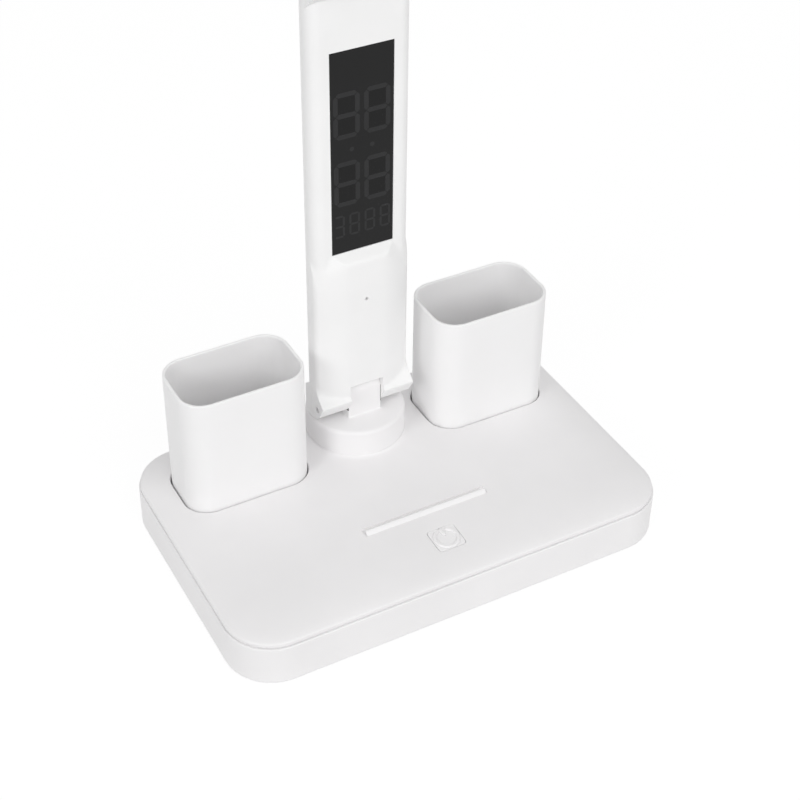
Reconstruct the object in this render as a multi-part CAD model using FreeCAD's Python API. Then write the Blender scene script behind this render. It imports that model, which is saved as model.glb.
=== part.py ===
"""Desk lamp with an organizer base: two lift-out pen cups, a phone rib and a touch key on a flat base,
a swivelling turntable, a folding arm with a clock display, and a folding light bar.

Frame: origin on the desk under the centre of the base, +X to the lamp's right as seen by its user,
+Y towards its back, +Z up. Millimetres. Every solid is drawn where it sits with the arm upright,
the light bar raised 40 degrees above level and the pen cups in their pockets.
"""
import FreeCAD, Part
import math
import os

Vector = FreeCAD.Vector
X_AXIS = Vector(1, 0, 0)
Y_AXIS = Vector(0, 1, 0)
Z_AXIS = Vector(0, 0, 1)

# ---------------------------------------------------------------- driving dimensions
# base
base_width = 210.0
base_depth = 134.6
base_corner = 22.0
pad_thickness = 1.5
cover_bottom_z = 1.0
seam_z = 21.4
seam_gap = 0.5
base_top_z = 27.1
base_wall = 2.2
floor_top_z = 3.2
tray_shoulder = 0.6
cover_inset = 0.7
# the top cover stands in from the tray's wall by cover_inset; above its upright edge it is a quarter
# ellipse that rises from pillow_start_z by pillow_rise over pillow_reach, measured from the tray's wall
pillow_start_z = 22.45
pillow_rise = 4.65
pillow_reach = 28.0
pillow_steps = (0.0, 0.25, 1.0, 2.5, 5.0, 9.0, 14.0, 20.0, 28.0)

# pen cups and their pockets
cup_width = 58.6
cup_depth = 37.0
cup_corner = 11.65
cup_wall = 1.5
cup_floor = 2.0
cup_rim_round = 0.6
cup_x = 61.8
cup_y = 34.2
cup_bottom_z = 17.3
cup_rim_z = 86.0
pocket_gap = 0.7
pocket_floor_z = 17.0
pocket_wall = 1.6

# phone rib and touch key
rib_length = 61.0
rib_width = 5.0
rib_height = 1.2
rib_y = -27.3
key_width = 13.2
key_depth = 12.8
key_corner = 1.6
key_y = -46.0
key_seat_z = 25.5
key_sunk = 0.35
key_gap = 0.1
symbol_outer = 5.8
symbol_inner = 4.6
symbol_line = 1.1

# turntable
turntable_y = 40.0
turntable_radius = 23.07
turntable_top_z = 41.1
turntable_bottom_z = 26.8
turntable_recess_z = 26.5
spigot_radius = 9.0
wire_bore = 5.0

# lower hinge
lower_axis_y = 32.4
lower_axis_z = 50.0
tongue_half_width = 8.1
tongue_front_y = 30.4
tongue_back_y = 38.2
slot_radius = 8.9
tongue_end_radius = (tongue_back_y - tongue_front_y) / 2
tongue_end_z = 54.0
tongue_blend = 2.0
hinge_pin_radius = 1.5
running_clearance = 0.05

# arm
arm_width = 46.14
arm_front_y = 31.8
arm_back_y = 44.2
arm_corner = 5.2
arm_wall = 1.8
arm_seam_y = 38.2
arm_foot_z = 57.5
arm_top_z = 257.0
pin_hole_z = 106.9

# belly: the arm's front swells forward below the display, flat in the middle and sloping to the sides
belly_depth = 3.8
belly_flat = 8.5
belly_half_width = 21.0
belly_power = 1.55
belly_edge = 1.8
belly_top_z = 131.0
ramp_run = 1.11
# right half of the belly's outline on the arm's front, from the foot up: (x, z)
belly_outline = ((26.0, 50.0), (26.0, 110.0), (20.9, 117.5), (18.5, 124.3), (14.6, belly_top_z))

# display
display_width = 29.2
display_bottom_z = 131.3
display_top_z = 226.0
display_recess = 0.3

# clock keys on the back of the arm
clock_key_radius = 3.0
clock_key_z = (190.0, 176.0, 162.0)
clock_key_proud = 0.7
clock_key_travel = 0.6

# upper hinge
upper_axis_y = 29.4
upper_axis_z = 258.0
barrel_radius = 5.4
knuckle_half_width = 10.6
knuckle_gap = 0.35
upper_pin_radius = 1.75

# light bar, drawn straight up and then tipped forward
bar_length = 188.0
bar_thickness = 9.5
bar_corner = 7.0
bar_wall = 1.6
bar_tip = 50.0
window_width = 38.0
window_start = 14.0
window_end = 6.0

# fasteners
screw_shank = 1.25
screw_head = 2.6


# ---------------------------------------------------------------- shape helpers
def box(x0, x1, y0, y1, z0, z1):
    return Part.makeBox(x1 - x0, y1 - y0, z1 - z0, Vector(x0, y0, z0))


def cylinder(radius, length, start, direction):
    return Part.makeCylinder(radius, length, Vector(*start), direction)


def ring(outer, inner, length, start, direction):
    return cylinder(outer, length, start, direction).cut(cylinder(inner, length, start, direction))


def rounded_wire(width, depth, radius, z, x=0.0, y=0.0):
    """Rounded rectangle lying level at height z: four straight sides and four quarter circles."""
    half_w = width / 2
    half_d = depth / 2
    edges = []
    for quarter in range(4):
        start = math.radians(90 * quarter)
        end = start + math.pi / 2
        middle = (start + end) / 2
        sign_x = 1 if quarter in (0, 3) else -1
        sign_y = 1 if quarter in (0, 1) else -1
        centre = Vector(x + sign_x * (half_w - radius), y + sign_y * (half_d - radius), z)
        points = [centre + Vector(math.cos(a), math.sin(a), 0) * radius for a in (start, middle, end)]
        edges.append(points)
    loop = []
    for quarter in range(4):
        first = edges[quarter]
        following = edges[(quarter + 1) % 4]
        loop.append(Part.Arc(*first).toShape())
        loop.append(Part.LineSegment(first[2], following[0]).toShape())
    return Part.Wire(loop)


def rounded_prism(width, depth, radius, z0, z1, x=0.0, y=0.0):
    face = Part.Face(rounded_wire(width, depth, radius, z0, x, y))
    return face.extrude(Vector(0, 0, z1 - z0))


def side_profile(points, x0, x1):
    """Closed outline of (y, z) points, extruded along X from x0 to x1."""
    corners = [Vector(x0, y, z) for y, z in points]
    face = Part.Face(Part.makePolygon(corners + corners[:1]))
    return face.extrude(Vector(x1 - x0, 0, 0))


def compound(solids):
    return Part.makeCompound(solids)


parts = {}

# ---------------------------------------------------------------- base covers
top_start_z = seam_z + seam_gap / 2
wall_end_z = seam_z - seam_gap / 2


def pillow_rise_at(distance):
    """How far the top cover has risen above pillow_start_z, this far in from the tray's wall."""
    return pillow_rise * math.sqrt(1.0 - (1.0 - distance / pillow_reach) ** 2)


def pillow(inset, drop, bottom_z):
    """The top cover's outside, shrunk by inset and lowered by drop, down to bottom_z."""
    levels = [(inset, bottom_z)]
    levels += [(inset + step, pillow_start_z + pillow_rise_at(step) - drop) for step in pillow_steps]
    sections = []
    for total, z in levels:
        corner = base_corner - 0.6 * total
        sections.append(rounded_wire(base_width - 2 * total, base_depth - 2 * total, corner, z))
    return Part.makeLoft(sections, True, True)


def key_block(margin, z0, z1):
    """Upright block over the touch key's outline grown by margin."""
    width = key_width + 2 * margin
    depth = key_depth + 2 * margin
    return rounded_prism(width, depth, key_corner + margin, z0, z1, 0, key_y)


edge_block = rounded_prism(
    base_width - 2 * cover_inset,
    base_depth - 2 * cover_inset,
    base_corner - cover_inset,
    top_start_z,
    60.0,
)
outside = pillow(0.0, 0.0, top_start_z - 1.0).common(edge_block)
inside = pillow(base_wall, base_wall, top_start_z - 5.0)
reach_down = pillow(0.6, 0.02, 5.0)

top_cover = outside.cut(inside)
lip_width = 1.6
rebate_height = 1.7
rebate = rounded_prism(
    base_width - 2 * (lip_width - 0.1),
    base_depth - 2 * (lip_width - 0.1),
    base_corner - lip_width + 0.1,
    top_start_z - 1.0,
    top_start_z + rebate_height - 0.9,
)
top_cover = top_cover.cut(rebate)

for side in (-1, 1):
    tub = rounded_prism(
        cup_width + 2 * (pocket_gap + pocket_wall),
        cup_depth + 2 * (pocket_gap + pocket_wall),
        cup_corner + pocket_gap + pocket_wall,
        pocket_floor_z - 1.8,
        base_top_z + 2.0,
        side * cup_x,
        cup_y,
    )
    top_cover = top_cover.fuse(tub.common(reach_down))

swivel_boss = cylinder(24.6, turntable_recess_z - 22.0, (0, turntable_y, 22.0), Z_AXIS)
rib_sections = []
for inward, rise in ((0.0, -1.0), (0.4, 0.5), (1.2, 0.95), (1.9, rib_height)):
    length = rib_length - 2 * inward
    width = rib_width - 2 * inward
    rib_sections.append(rounded_wire(length, width, width / 2 - 0.01, base_top_z + rise, 0, rib_y))
phone_rib = Part.makeLoft(rib_sections, True, True)
key_boss = key_block(2.0, key_seat_z - 1.5, key_seat_z + 0.5)
top_cover = top_cover.fuse([swivel_boss, phone_rib, key_boss])

base_screw_places = []
for side in (-1, 1):
    base_screw_places += [(side * 93.0, -55.0), (side * 93.0, 57.0), (side * 30.0, 60.0)]
post_radius = 3.2
post_bottom_z = 11.0
posts = [cylinder(post_radius, 20.0, (x, y, post_bottom_z), Z_AXIS) for x, y in base_screw_places]
top_cover = top_cover.fuse([post.common(reach_down) for post in posts])

for side in (-1, 1):
    pocket = rounded_prism(
        cup_width + 2 * pocket_gap,
        cup_depth + 2 * pocket_gap,
        cup_corner + pocket_gap,
        pocket_floor_z,
        base_top_z + 3.0,
        side * cup_x,
        cup_y,
    )
    top_cover = top_cover.cut(pocket)

key_recess = key_block(key_gap, key_seat_z, 30.0)
key_contact_hole = cylinder(4.5, 10.0, (0, key_y, 20.0), Z_AXIS)
swivel_recess = cylinder(turntable_radius + 0.5, 3.0, (0, turntable_y, turntable_recess_z), Z_AXIS)
swivel_bore = cylinder(spigot_radius + 0.3, 10.0, (0, turntable_y, 20.0), Z_AXIS)
glide_outer = 19.0
glide_inner = 13.0
glide_bottom = (0, turntable_y, turntable_recess_z - 0.8)
glide_groove = ring(glide_outer + 0.15, glide_inner - 0.15, 2.0, glide_bottom, Z_AXIS)
pilot_holes = [cylinder(screw_shank, 8.0, (x, y, post_bottom_z), Z_AXIS) for x, y in base_screw_places]
top_cover = top_cover.cut([key_recess, key_contact_hole, swivel_recess, swivel_bore, glide_groove])
parts["base_top_cover"] = top_cover.cut(pilot_holes)

tray = rounded_prism(base_width, base_depth, base_corner, cover_bottom_z, wall_end_z)
tray_floor_edges = [e for e in tray.Edges if max(v.Z for v in e.Vertexes) < cover_bottom_z + 0.1]
tray = tray.makeFillet(1.6, tray_floor_edges)
tray_top_edges = [e for e in tray.Edges if min(v.Z for v in e.Vertexes) > wall_end_z - 0.1]
tray = tray.makeFillet(tray_shoulder, tray_top_edges)
tray_inside = rounded_prism(
    base_width - 2 * base_wall,
    base_depth - 2 * base_wall,
    base_corner - base_wall,
    floor_top_z,
    wall_end_z + 5.0,
)
tray = tray.cut(tray_inside)
lip = rounded_prism(
    base_width - 2 * lip_width,
    base_depth - 2 * lip_width,
    base_corner - lip_width,
    wall_end_z - 2.0,
    top_start_z + 0.5,
)
tray = tray.fuse(lip.cut(tray_inside))
boss_radius = 4.2
boss_top_z = 10.8
bosses = [cylinder(boss_radius, boss_top_z - 2.0, (x, y, 2.0), Z_AXIS) for x, y in base_screw_places]
tray = tray.fuse(bosses)
pad_width = base_width - 34.0
pad_depth = base_depth - 32.0
pad_corner = base_corner - 8.0
pad_seat = rounded_prism(pad_width + 0.4, pad_depth + 0.4, pad_corner + 0.2, 0.0, pad_thickness)
screw_seat_z = 4.6
screw_holes = []
for x, y in base_screw_places:
    screw_holes.append(cylinder(screw_head + 0.3, screw_seat_z, (x, y, 0.0), Z_AXIS))
    screw_holes.append(cylinder(screw_shank + 0.25, 12.0, (x, y, 0.0), Z_AXIS))
socket_z = 12.0
socket_width = 9.0
socket_height = 3.3
socket_mouth = rounded_prism(socket_width + 0.6, socket_height + 0.6, 1.9, 0.0, 8.0)
socket_mouth.rotate(Vector(0, 0, 0), X_AXIS, -90)
socket_mouth.translate(Vector(0, base_depth / 2 - 6.0, socket_z))
parts["base_bottom_cover"] = tray.cut([pad_seat, socket_mouth] + screw_holes)

parts["non_slip_pad"] = rounded_prism(pad_width, pad_depth, pad_corner, 0.0, pad_thickness)


def upright_screw(x, y, seat_z, length):
    """Pan-head screw driven upwards: its head hangs below seat_z."""
    head = cylinder(screw_head, 1.8, (x, y, seat_z - 1.8), Z_AXIS)
    shank = cylinder(screw_shank, length, (x, y, seat_z), Z_AXIS)
    cross = box(x - 1.4, x + 1.4, y - 0.3, y + 0.3, seat_z - 1.8, seat_z - 1.0)
    cross = cross.fuse(box(x - 0.3, x + 0.3, y - 1.4, y + 1.4, seat_z - 1.8, seat_z - 1.0))
    return head.fuse(shank).cut(cross)


parts["base_screws"] = compound([upright_screw(x, y, screw_seat_z, 13.0) for x, y in base_screw_places])

# ---------------------------------------------------------------- inside the base
weight_thickness = 4.0
parts["base_weight"] = rounded_prism(150.0, 62.0, 6.0, floor_top_z, floor_top_z + weight_thickness, 0, 21.0)

cell_radius = 9.2
cell_length = 65.0
cell_x = -60.0
cell_y = -40.0
cell_z = floor_top_z + 1.2 + cell_radius
cell_can = cylinder(cell_radius, cell_length - 1.2, (cell_x - cell_length / 2, cell_y, cell_z), X_AXIS)
cell_button = cylinder(3.0, 1.2, (cell_x + cell_length / 2 - 1.2, cell_y, cell_z), X_AXIS)
parts["battery_cell"] = cell_can.fuse(cell_button)

holder_end = 2.0
holder = box(
    cell_x - cell_length / 2 - holder_end,
    cell_x + cell_length / 2 + holder_end,
    cell_y - cell_radius - 1.4,
    cell_y + cell_radius + 1.4,
    floor_top_z,
    cell_z + 1.0,
)
cell_room_start = (cell_x - cell_length / 2 - 0.2, cell_y, cell_z)
cell_room = cylinder(cell_radius + 0.2, cell_length + 0.4, cell_room_start, X_AXIS)
parts["battery_holder"] = holder.cut(cell_room)

board_bottom_z = 7.0
board_thickness = 1.6
board_x0 = -14.0
board_x1 = 64.0
board_y0 = -60.0
board_y1 = -34.0
board = box(board_x0, board_x1, board_y0, board_y1, board_bottom_z, board_bottom_z + board_thickness)
board_top_z = board_bottom_z + board_thickness
components = [
    box(18.0, 28.0, -52.0, -42.0, board_top_z, board_top_z + 1.6),
    box(34.0, 42.0, -50.0, -42.0, board_top_z, board_top_z + 4.0),
    box(48.0, 60.0, -56.0, -50.0, board_top_z, board_top_z + 6.0),
    box(48.0, 60.0, -44.0, -38.0, board_top_z, board_top_z + 6.0),
]
standoffs = [
    cylinder(2.2, board_bottom_z - floor_top_z, (x, y, floor_top_z), Z_AXIS)
    for x in (board_x0 + 3.5, board_x1 - 3.5)
    for y in (board_y0 + 3.5, board_y1 - 3.5)
]
parts["control_board"] = board.fuse(components)
parts["board_standoffs"] = compound(standoffs)

charge_board_z = socket_z - socket_height / 2 - 1.2
parts["charging_board"] = box(-11.0, 11.0, 48.0, 64.0, charge_board_z, charge_board_z + 1.2)
socket_shell = rounded_prism(socket_width, socket_height, 1.6, 0.0, 8.0)
socket_hollow = rounded_prism(socket_width - 0.8, socket_height - 0.8, 1.2, 1.5, 9.0)
socket_blade = box(-3.3, 3.3, -0.35, 0.35, 1.0, 6.5)
usb_socket = socket_shell.cut(socket_hollow).fuse(socket_blade)
usb_socket.rotate(Vector(0, 0, 0), X_AXIS, -90)
usb_socket.translate(Vector(0, base_depth / 2 - 8.6, socket_z))
parts["usb_socket"] = usb_socket

# the key follows the pillow a little below it, and carries a raised ring and bar up to the pillow's level
key_cap = key_block(0.0, key_seat_z, 30.0).common(pillow(0.6, key_sunk, 5.0))
symbol_ring = ring(symbol_outer, symbol_inner, 6.0, (0, key_y, key_seat_z), Z_AXIS)
symbol_gap = box(-2.1, 2.1, key_y, key_y + 7.0, key_seat_z - 1.0, 33.0)
symbol_bar = box(-symbol_line / 2, symbol_line / 2, key_y + 1.7, key_y + 5.7, key_seat_z, 31.0)
symbol = symbol_ring.cut(symbol_gap).fuse(symbol_bar).common(pillow(0.6, 0.05, 5.0))
parts["touch_key"] = key_cap.fuse(symbol).removeSplitter()


def coil_spring(radius, wire_radius, z0, z1, turns, x, y):
    """Round wire wound on a helix, with its two ends left open."""
    height = z1 - z0 - 2 * wire_radius
    helix = Part.makeHelix(height / turns, height, radius)
    helix.translate(Vector(x, y, z0 + wire_radius))
    start = helix.Edges[0].firstVertex().Point
    section = Part.Wire(Part.makeCircle(wire_radius, start, Y_AXIS))
    return Part.Wire(helix.Edges).makePipeShell([section], True, True)


parts["touch_spring"] = coil_spring(3.4, 0.4, board_top_z, key_seat_z, 6, 0, key_y)

# ---------------------------------------------------------------- pen cups
for side, name in ((-1, "left_pen_cup"), (1, "right_pen_cup")):
    outside = rounded_prism(cup_width, cup_depth, cup_corner, cup_bottom_z, cup_rim_z, side * cup_x, cup_y)
    lower_edges = [e for e in outside.Edges if max(v.Z for v in e.Vertexes) < cup_bottom_z + 0.1]
    outside = outside.makeFillet(1.5, lower_edges)
    hollow = rounded_prism(
        cup_width - 2 * cup_wall,
        cup_depth - 2 * cup_wall,
        cup_corner - cup_wall,
        cup_bottom_z + cup_floor,
        cup_rim_z + 5.0,
        side * cup_x,
        cup_y,
    )
    cup = outside.cut(hollow)
    rim = [e for e in cup.Edges if min(v.Z for v in e.Vertexes) > cup_rim_z - 0.1]
    parts[name] = cup.makeFillet(cup_rim_round, rim)

# ---------------------------------------------------------------- turntable
parts["swivel_glide_ring"] = ring(glide_outer, glide_inner, 0.9, glide_bottom, Z_AXIS)

disc = cylinder(
    turntable_radius,
    turntable_top_z - turntable_bottom_z,
    (0, turntable_y, turntable_bottom_z),
    Z_AXIS,
)
rim_edges = [e for e in disc.Edges if len(e.Vertexes) == 1 and e.Vertexes[0].Z > turntable_top_z - 0.1]
disc = disc.makeFillet(1.8, rim_edges)
disc_hollow = ring(
    turntable_radius - 2.2,
    spigot_radius,
    turntable_top_z - turntable_bottom_z - 2.6,
    (0, turntable_y, turntable_bottom_z),
    Z_AXIS,
)
spigot_end_z = 21.7
spigot_length = turntable_bottom_z - spigot_end_z + 1.0
spigot = cylinder(spigot_radius, spigot_length, (0, turntable_y, spigot_end_z), Z_AXIS)
tongue_mid_y = (tongue_front_y + tongue_back_y) / 2
tongue_left = (-tongue_half_width, tongue_mid_y, tongue_end_z)
tongue = cylinder(tongue_end_radius, 2 * tongue_half_width, tongue_left, X_AXIS)
stem = box(
    -tongue_half_width,
    tongue_half_width,
    tongue_front_y,
    tongue_back_y,
    turntable_top_z - 1.0,
    tongue_end_z,
)
# the tongue runs into the disc through a hollow fillet
blend_sections = []
for height in (0.0, 0.25, 0.7, 1.3, tongue_blend):
    flare = tongue_blend - math.sqrt(tongue_blend ** 2 - (tongue_blend - height) ** 2)
    blend_sections.append(
        rounded_wire(
            2 * (tongue_half_width + flare),
            tongue_back_y - tongue_front_y + 2 * flare,
            0.6 + flare,
            turntable_top_z + height,
            0,
            tongue_mid_y,
        )
    )
blend_root = rounded_prism(
    2 * (tongue_half_width + tongue_blend),
    tongue_back_y - tongue_front_y + 2 * tongue_blend,
    0.6 + tongue_blend,
    turntable_top_z - 0.5,
    turntable_top_z,
    0,
    tongue_mid_y,
)
foot = Part.makeLoft(blend_sections, True, True).fuse(blend_root)
turntable = disc.cut(disc_hollow).fuse([spigot, stem, tongue, foot])
hinge_bore = cylinder(hinge_pin_radius, 60.0, (-30, lower_axis_y, lower_axis_z), X_AXIS)
wire_way = cylinder(wire_bore, 12.0, (0, turntable_y, spigot_end_z - 1.0), Z_AXIS)
retainer_places = [
    (7.0 * math.cos(math.radians(a)), turntable_y + 7.0 * math.sin(math.radians(a))) for a in (90, 210, 330)
]
retainer_shank = 0.9
retainer_pilots = [cylinder(retainer_shank, 5.0, (x, y, spigot_end_z), Z_AXIS) for x, y in retainer_places]
parts["turntable"] = turntable.cut([hinge_bore, wire_way] + retainer_pilots).removeSplitter()

retainer_thickness = 1.5
retainer_bottom_z = spigot_end_z - retainer_thickness
retainer = ring(14.0, wire_bore, retainer_thickness, (0, turntable_y, retainer_bottom_z), Z_AXIS)
retainer_holes = []
for x, y in retainer_places:
    retainer_holes.append(cylinder(retainer_shank, 5.0, (x, y, retainer_bottom_z - 1.5), Z_AXIS))
parts["swivel_retainer"] = retainer.cut(retainer_holes)
retainer_screws = []
for x, y in retainer_places:
    screw = cylinder(1.7, 1.2, (x, y, spigot_end_z - retainer_thickness - 1.2), Z_AXIS)
    screw = screw.fuse(cylinder(retainer_shank, 6.0, (x, y, spigot_end_z - retainer_thickness), Z_AXIS))
    retainer_screws.append(screw)
parts["swivel_retainer_screws"] = compound(retainer_screws)

pin_end_recess = 1.0
lower_pin_half = arm_width / 2 - pin_end_recess
parts["lower_hinge_pin"] = cylinder(
    hinge_pin_radius,
    2 * lower_pin_half,
    (-lower_pin_half, lower_axis_y, lower_axis_z),
    X_AXIS,
)
washer_thickness = 0.25
lower_washers = []
for start in (-tongue_half_width - washer_thickness, tongue_half_width):
    washer = ring(5.0, hinge_pin_radius, washer_thickness, (start, lower_axis_y, lower_axis_z), X_AXIS)
    lower_washers.append(washer.common(box(-20, 20, tongue_front_y, 60, 40, 60)))
parts["lower_hinge_washers"] = compound(lower_washers)

# ---------------------------------------------------------------- arm shells
half_arm = arm_width / 2
arm_mid_y = (arm_front_y + arm_back_y) / 2
arm_depth = arm_back_y - arm_front_y
tube = rounded_prism(arm_width, arm_depth, arm_corner, arm_foot_z, arm_top_z, 0, arm_mid_y)

# the foot of the arm: square-ended, its front flared forward to a lip over the hinge pin
foot_outline = (
    (33.6, 61.0),
    (26.9, 54.3),
    (26.6, 53.7),
    (26.9, 52.8),
    (30.4, 46.8),
    (34.0, 43.6),
    (37.6, 42.8),
    (42.6, 42.4),
    (arm_back_y, 44.0),
    (arm_back_y, arm_foot_z),
    (40.0, 60.5),
)
foot_block = side_profile(foot_outline, -half_arm, half_arm)


# the belly's level slice: flat in the middle, sloping to the sides, rolled over at the edges
right = []
for share in (0.0, 0.15, 0.3, 0.45, 0.6, 0.75, 0.85, 0.92, 0.96, 0.985, 0.997, 1.0):
    x = belly_flat + share * (half_arm - belly_flat)
    slope = ((x - belly_flat) / (belly_half_width - belly_flat)) ** belly_power
    past = min(max(x - (half_arm - belly_edge), 0.0), belly_edge)
    roll = belly_edge - math.sqrt(belly_edge ** 2 - past ** 2)
    right.append(Vector(x, arm_front_y - belly_depth * (1.0 - slope) + roll, 50.0))
left = [Vector(-point.x, point.y, point.z) for point in reversed(right)]
behind_right = Vector(half_arm, arm_front_y + 5.0, 50.0)
behind_left = Vector(-half_arm, arm_front_y + 5.0, 50.0)
left_slope = Part.BSplineCurve()
left_slope.interpolate(left)
right_slope = Part.BSplineCurve()
right_slope.interpolate(right)
slice_edges = [
    left_slope.toShape(),
    Part.makeLine(left[-1], right[0]),
    right_slope.toShape(),
    Part.makeLine(right[-1], behind_right),
    Part.makeLine(behind_right, behind_left),
    Part.makeLine(behind_left, left[0]),
]
belly = Part.Face(Part.Wire(slice_edges)).extrude(Vector(0, 0, belly_top_z - 50.0))


def belly_wire(y):
    """The belly's outline at depth y: it shrinks by ramp_run for each millimetre in front of the arm."""
    full = list(belly_outline) + [(-x, z) for x, z in reversed(belly_outline)]
    inset = (arm_front_y - y) * ramp_run
    corners = []
    for index, (x, z) in enumerate(full):
        before = full[index - 1]
        after = full[(index + 1) % len(full)]
        normals = []
        for (x0, z0), (x1, z1) in ((before, (x, z)), ((x, z), after)):
            length = math.hypot(x1 - x0, z1 - z0)
            normals.append((-(z1 - z0) / length, (x1 - x0) / length))
        (a, b), (c, d) = normals
        reach = inset / (1.0 + a * c + b * d)
        corners.append(Vector(x + (a + c) * reach, y, z + (b + d) * reach))
    return Part.makePolygon(corners + corners[:1])


ramp_ends = [belly_wire(arm_front_y + 5.0), belly_wire(arm_front_y - belly_depth - 0.5)]
ramps = Part.makeLoft(ramp_ends, True, True)
below_lip = side_profile(((20.0, 47.4), (33.6, 61.0), (33.6, 50.0), (20.0, 40.0)), -half_arm, half_arm)
belly = belly.common(ramps).cut(below_lip)

# upper hinge ears: two barrels standing forward of the arm's top corners
ear_inner = knuckle_half_width + knuckle_gap
upper_ears = []
for x0 in (-half_arm, ear_inner):
    width = half_arm - ear_inner
    barrel = cylinder(barrel_radius, width, (x0, upper_axis_y, upper_axis_z), X_AXIS)
    web = side_profile(
        (
            (arm_front_y + 3.0, 246.0),
            (arm_front_y, 249.0),
            (upper_axis_y - 2.6, upper_axis_z - 4.6),
            (upper_axis_y, upper_axis_z),
            (arm_front_y + 3.0, upper_axis_z - 1.0),
        ),
        x0,
        x0 + width,
    )
    upper_ears.append(barrel.fuse(web))

arm_solid = tube.fuse([foot_block, belly] + upper_ears)

slot_half_width = tongue_half_width + washer_thickness + 0.1
slot_left = (-slot_half_width, lower_axis_y, lower_axis_z)
tongue_slot = cylinder(slot_radius, 2 * slot_half_width, slot_left, X_AXIS)
tongue_slot = tongue_slot.fuse(
    box(-slot_half_width, slot_half_width, 20.0, tongue_back_y + 0.7, 30.0, lower_axis_z)
)
# the slot's roof rises towards the front
slot_roof = ((20.0, 64.3), (lower_axis_y, 58.85), (lower_axis_y, 45.0), (20.0, 45.0))
tongue_slot = tongue_slot.fuse(side_profile(slot_roof, -slot_half_width, slot_half_width))
knuckle_room = cylinder(
    barrel_radius + 0.4,
    2 * ear_inner,
    (-ear_inner, upper_axis_y, upper_axis_z),
    X_AXIS,
)
bores = [
    cylinder(hinge_pin_radius + running_clearance, 60.0, (-30, lower_axis_y, lower_axis_z), X_AXIS),
    cylinder(upper_pin_radius, 60.0, (-30, upper_axis_y, upper_axis_z), X_AXIS),
]
arm_inside = rounded_prism(
    arm_width - 2 * arm_wall,
    arm_depth - 2 * arm_wall,
    arm_corner - arm_wall,
    63.0,
    arm_top_z - 7.0,
    0,
    arm_mid_y,
)
window = box(
    -display_width / 2,
    display_width / 2,
    20.0,
    arm_mid_y,
    display_bottom_z,
    display_top_z,
)
pin_hole = cylinder(0.8, 10.0, (0, 26.0, pin_hole_z), Y_AXIS)
clock_key_holes = [cylinder(clock_key_radius + 0.2, 10.0, (0, arm_mid_y, z), Y_AXIS) for z in clock_key_z]
# the belly is hollow too, with the same wall behind its front
belly_inside = belly.copy()
belly_inside.translate(Vector(0, arm_wall, 0))
belly_inside = belly_inside.common(box(-half_arm + arm_wall, half_arm - arm_wall, 20, arm_mid_y, 63.0, 124.0))
arm_outside = arm_solid.copy()
arm_solid = arm_solid.cut([tongue_slot, knuckle_room, arm_inside, belly_inside, window, pin_hole])
arm_solid = arm_solid.cut(bores + clock_key_holes)

arm_screw_places = [(side * 16.0, z) for side in (-1, 1) for z in (72.0, 243.0)]
arm_posts = []
arm_screw_room = []
for x, z in arm_screw_places:
    post = cylinder(3.8, arm_back_y - 27.0 - 1.5, (x, 27.0, z), Y_AXIS)
    arm_posts.append(post.common(arm_outside))
    arm_screw_room.append(cylinder(screw_shank, 9.0, (x, arm_back_y - 7.9, z), Y_AXIS))
    arm_screw_room.append(cylinder(screw_head, 10.0, (x, arm_back_y - 1.9, z), Y_AXIS))
arm_solid = arm_solid.fuse(arm_posts).cut(arm_screw_room)

seam_half = 0.05
front_half_space = box(-50, 50, 0.0, arm_seam_y - seam_half, 30.0, 300.0)
back_half_space = box(-50, 50, arm_seam_y + seam_half, 60.0, 30.0, 300.0)
parts["arm_front_shell"] = arm_solid.common(front_half_space).removeSplitter()
parts["arm_back_shell"] = arm_solid.common(back_half_space).removeSplitter()

arm_screws = []
for x, z in arm_screw_places:
    head = cylinder(screw_head - 0.1, 1.6, (x, arm_back_y - 1.9, z), Y_AXIS)
    shank = cylinder(screw_shank, 6.0, (x, arm_back_y - 7.9, z), Y_AXIS)
    cross = box(x - 1.4, x + 1.4, arm_back_y - 0.9, arm_back_y, z - 0.3, z + 0.3)
    cross = cross.fuse(box(x - 0.3, x + 0.3, arm_back_y - 0.9, arm_back_y, z - 1.4, z + 1.4))
    arm_screws.append(head.fuse(shank).cut(cross))
parts["arm_screws"] = compound(arm_screws)

# ---------------------------------------------------------------- display and clock inside the arm
lens_front_y = arm_front_y + display_recess
lens_thickness = 1.3
lens_gap = 0.1
parts["display_lens"] = box(
    -display_width / 2 + lens_gap,
    display_width / 2 - lens_gap,
    lens_front_y,
    lens_front_y + lens_thickness,
    display_bottom_z + lens_gap,
    display_top_z - lens_gap,
)
module_front_y = lens_front_y + lens_thickness
module_thickness = 2.6
parts["display_module"] = box(
    -display_width / 2 + 0.6,
    display_width / 2 - 0.6,
    module_front_y,
    module_front_y + module_thickness,
    display_bottom_z + 1.5,
    display_top_z - 1.5,
)
clock_board_y = module_front_y + module_thickness
clock_board_thickness = 1.0
parts["clock_board"] = box(
    -17.0,
    17.0,
    clock_board_y,
    clock_board_y + clock_board_thickness,
    96.0,
    display_top_z + 2.0,
)
sounder_radius = 4.5
sounder_thickness = 2.2
parts["alarm_sounder"] = cylinder(
    sounder_radius,
    sounder_thickness,
    (0, clock_board_y - sounder_thickness, pin_hole_z),
    Y_AXIS,
)
switch_back_y = clock_board_y + clock_board_thickness
switch_height = 1.5
parts["key_switches"] = compound(
    [box(-3.0, 3.0, switch_back_y, switch_back_y + switch_height, z - 3.0, z + 3.0) for z in clock_key_z]
)
inner_wall_y = arm_back_y - arm_wall
flange_thickness = 0.7
flange_gap = 0.3
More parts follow.
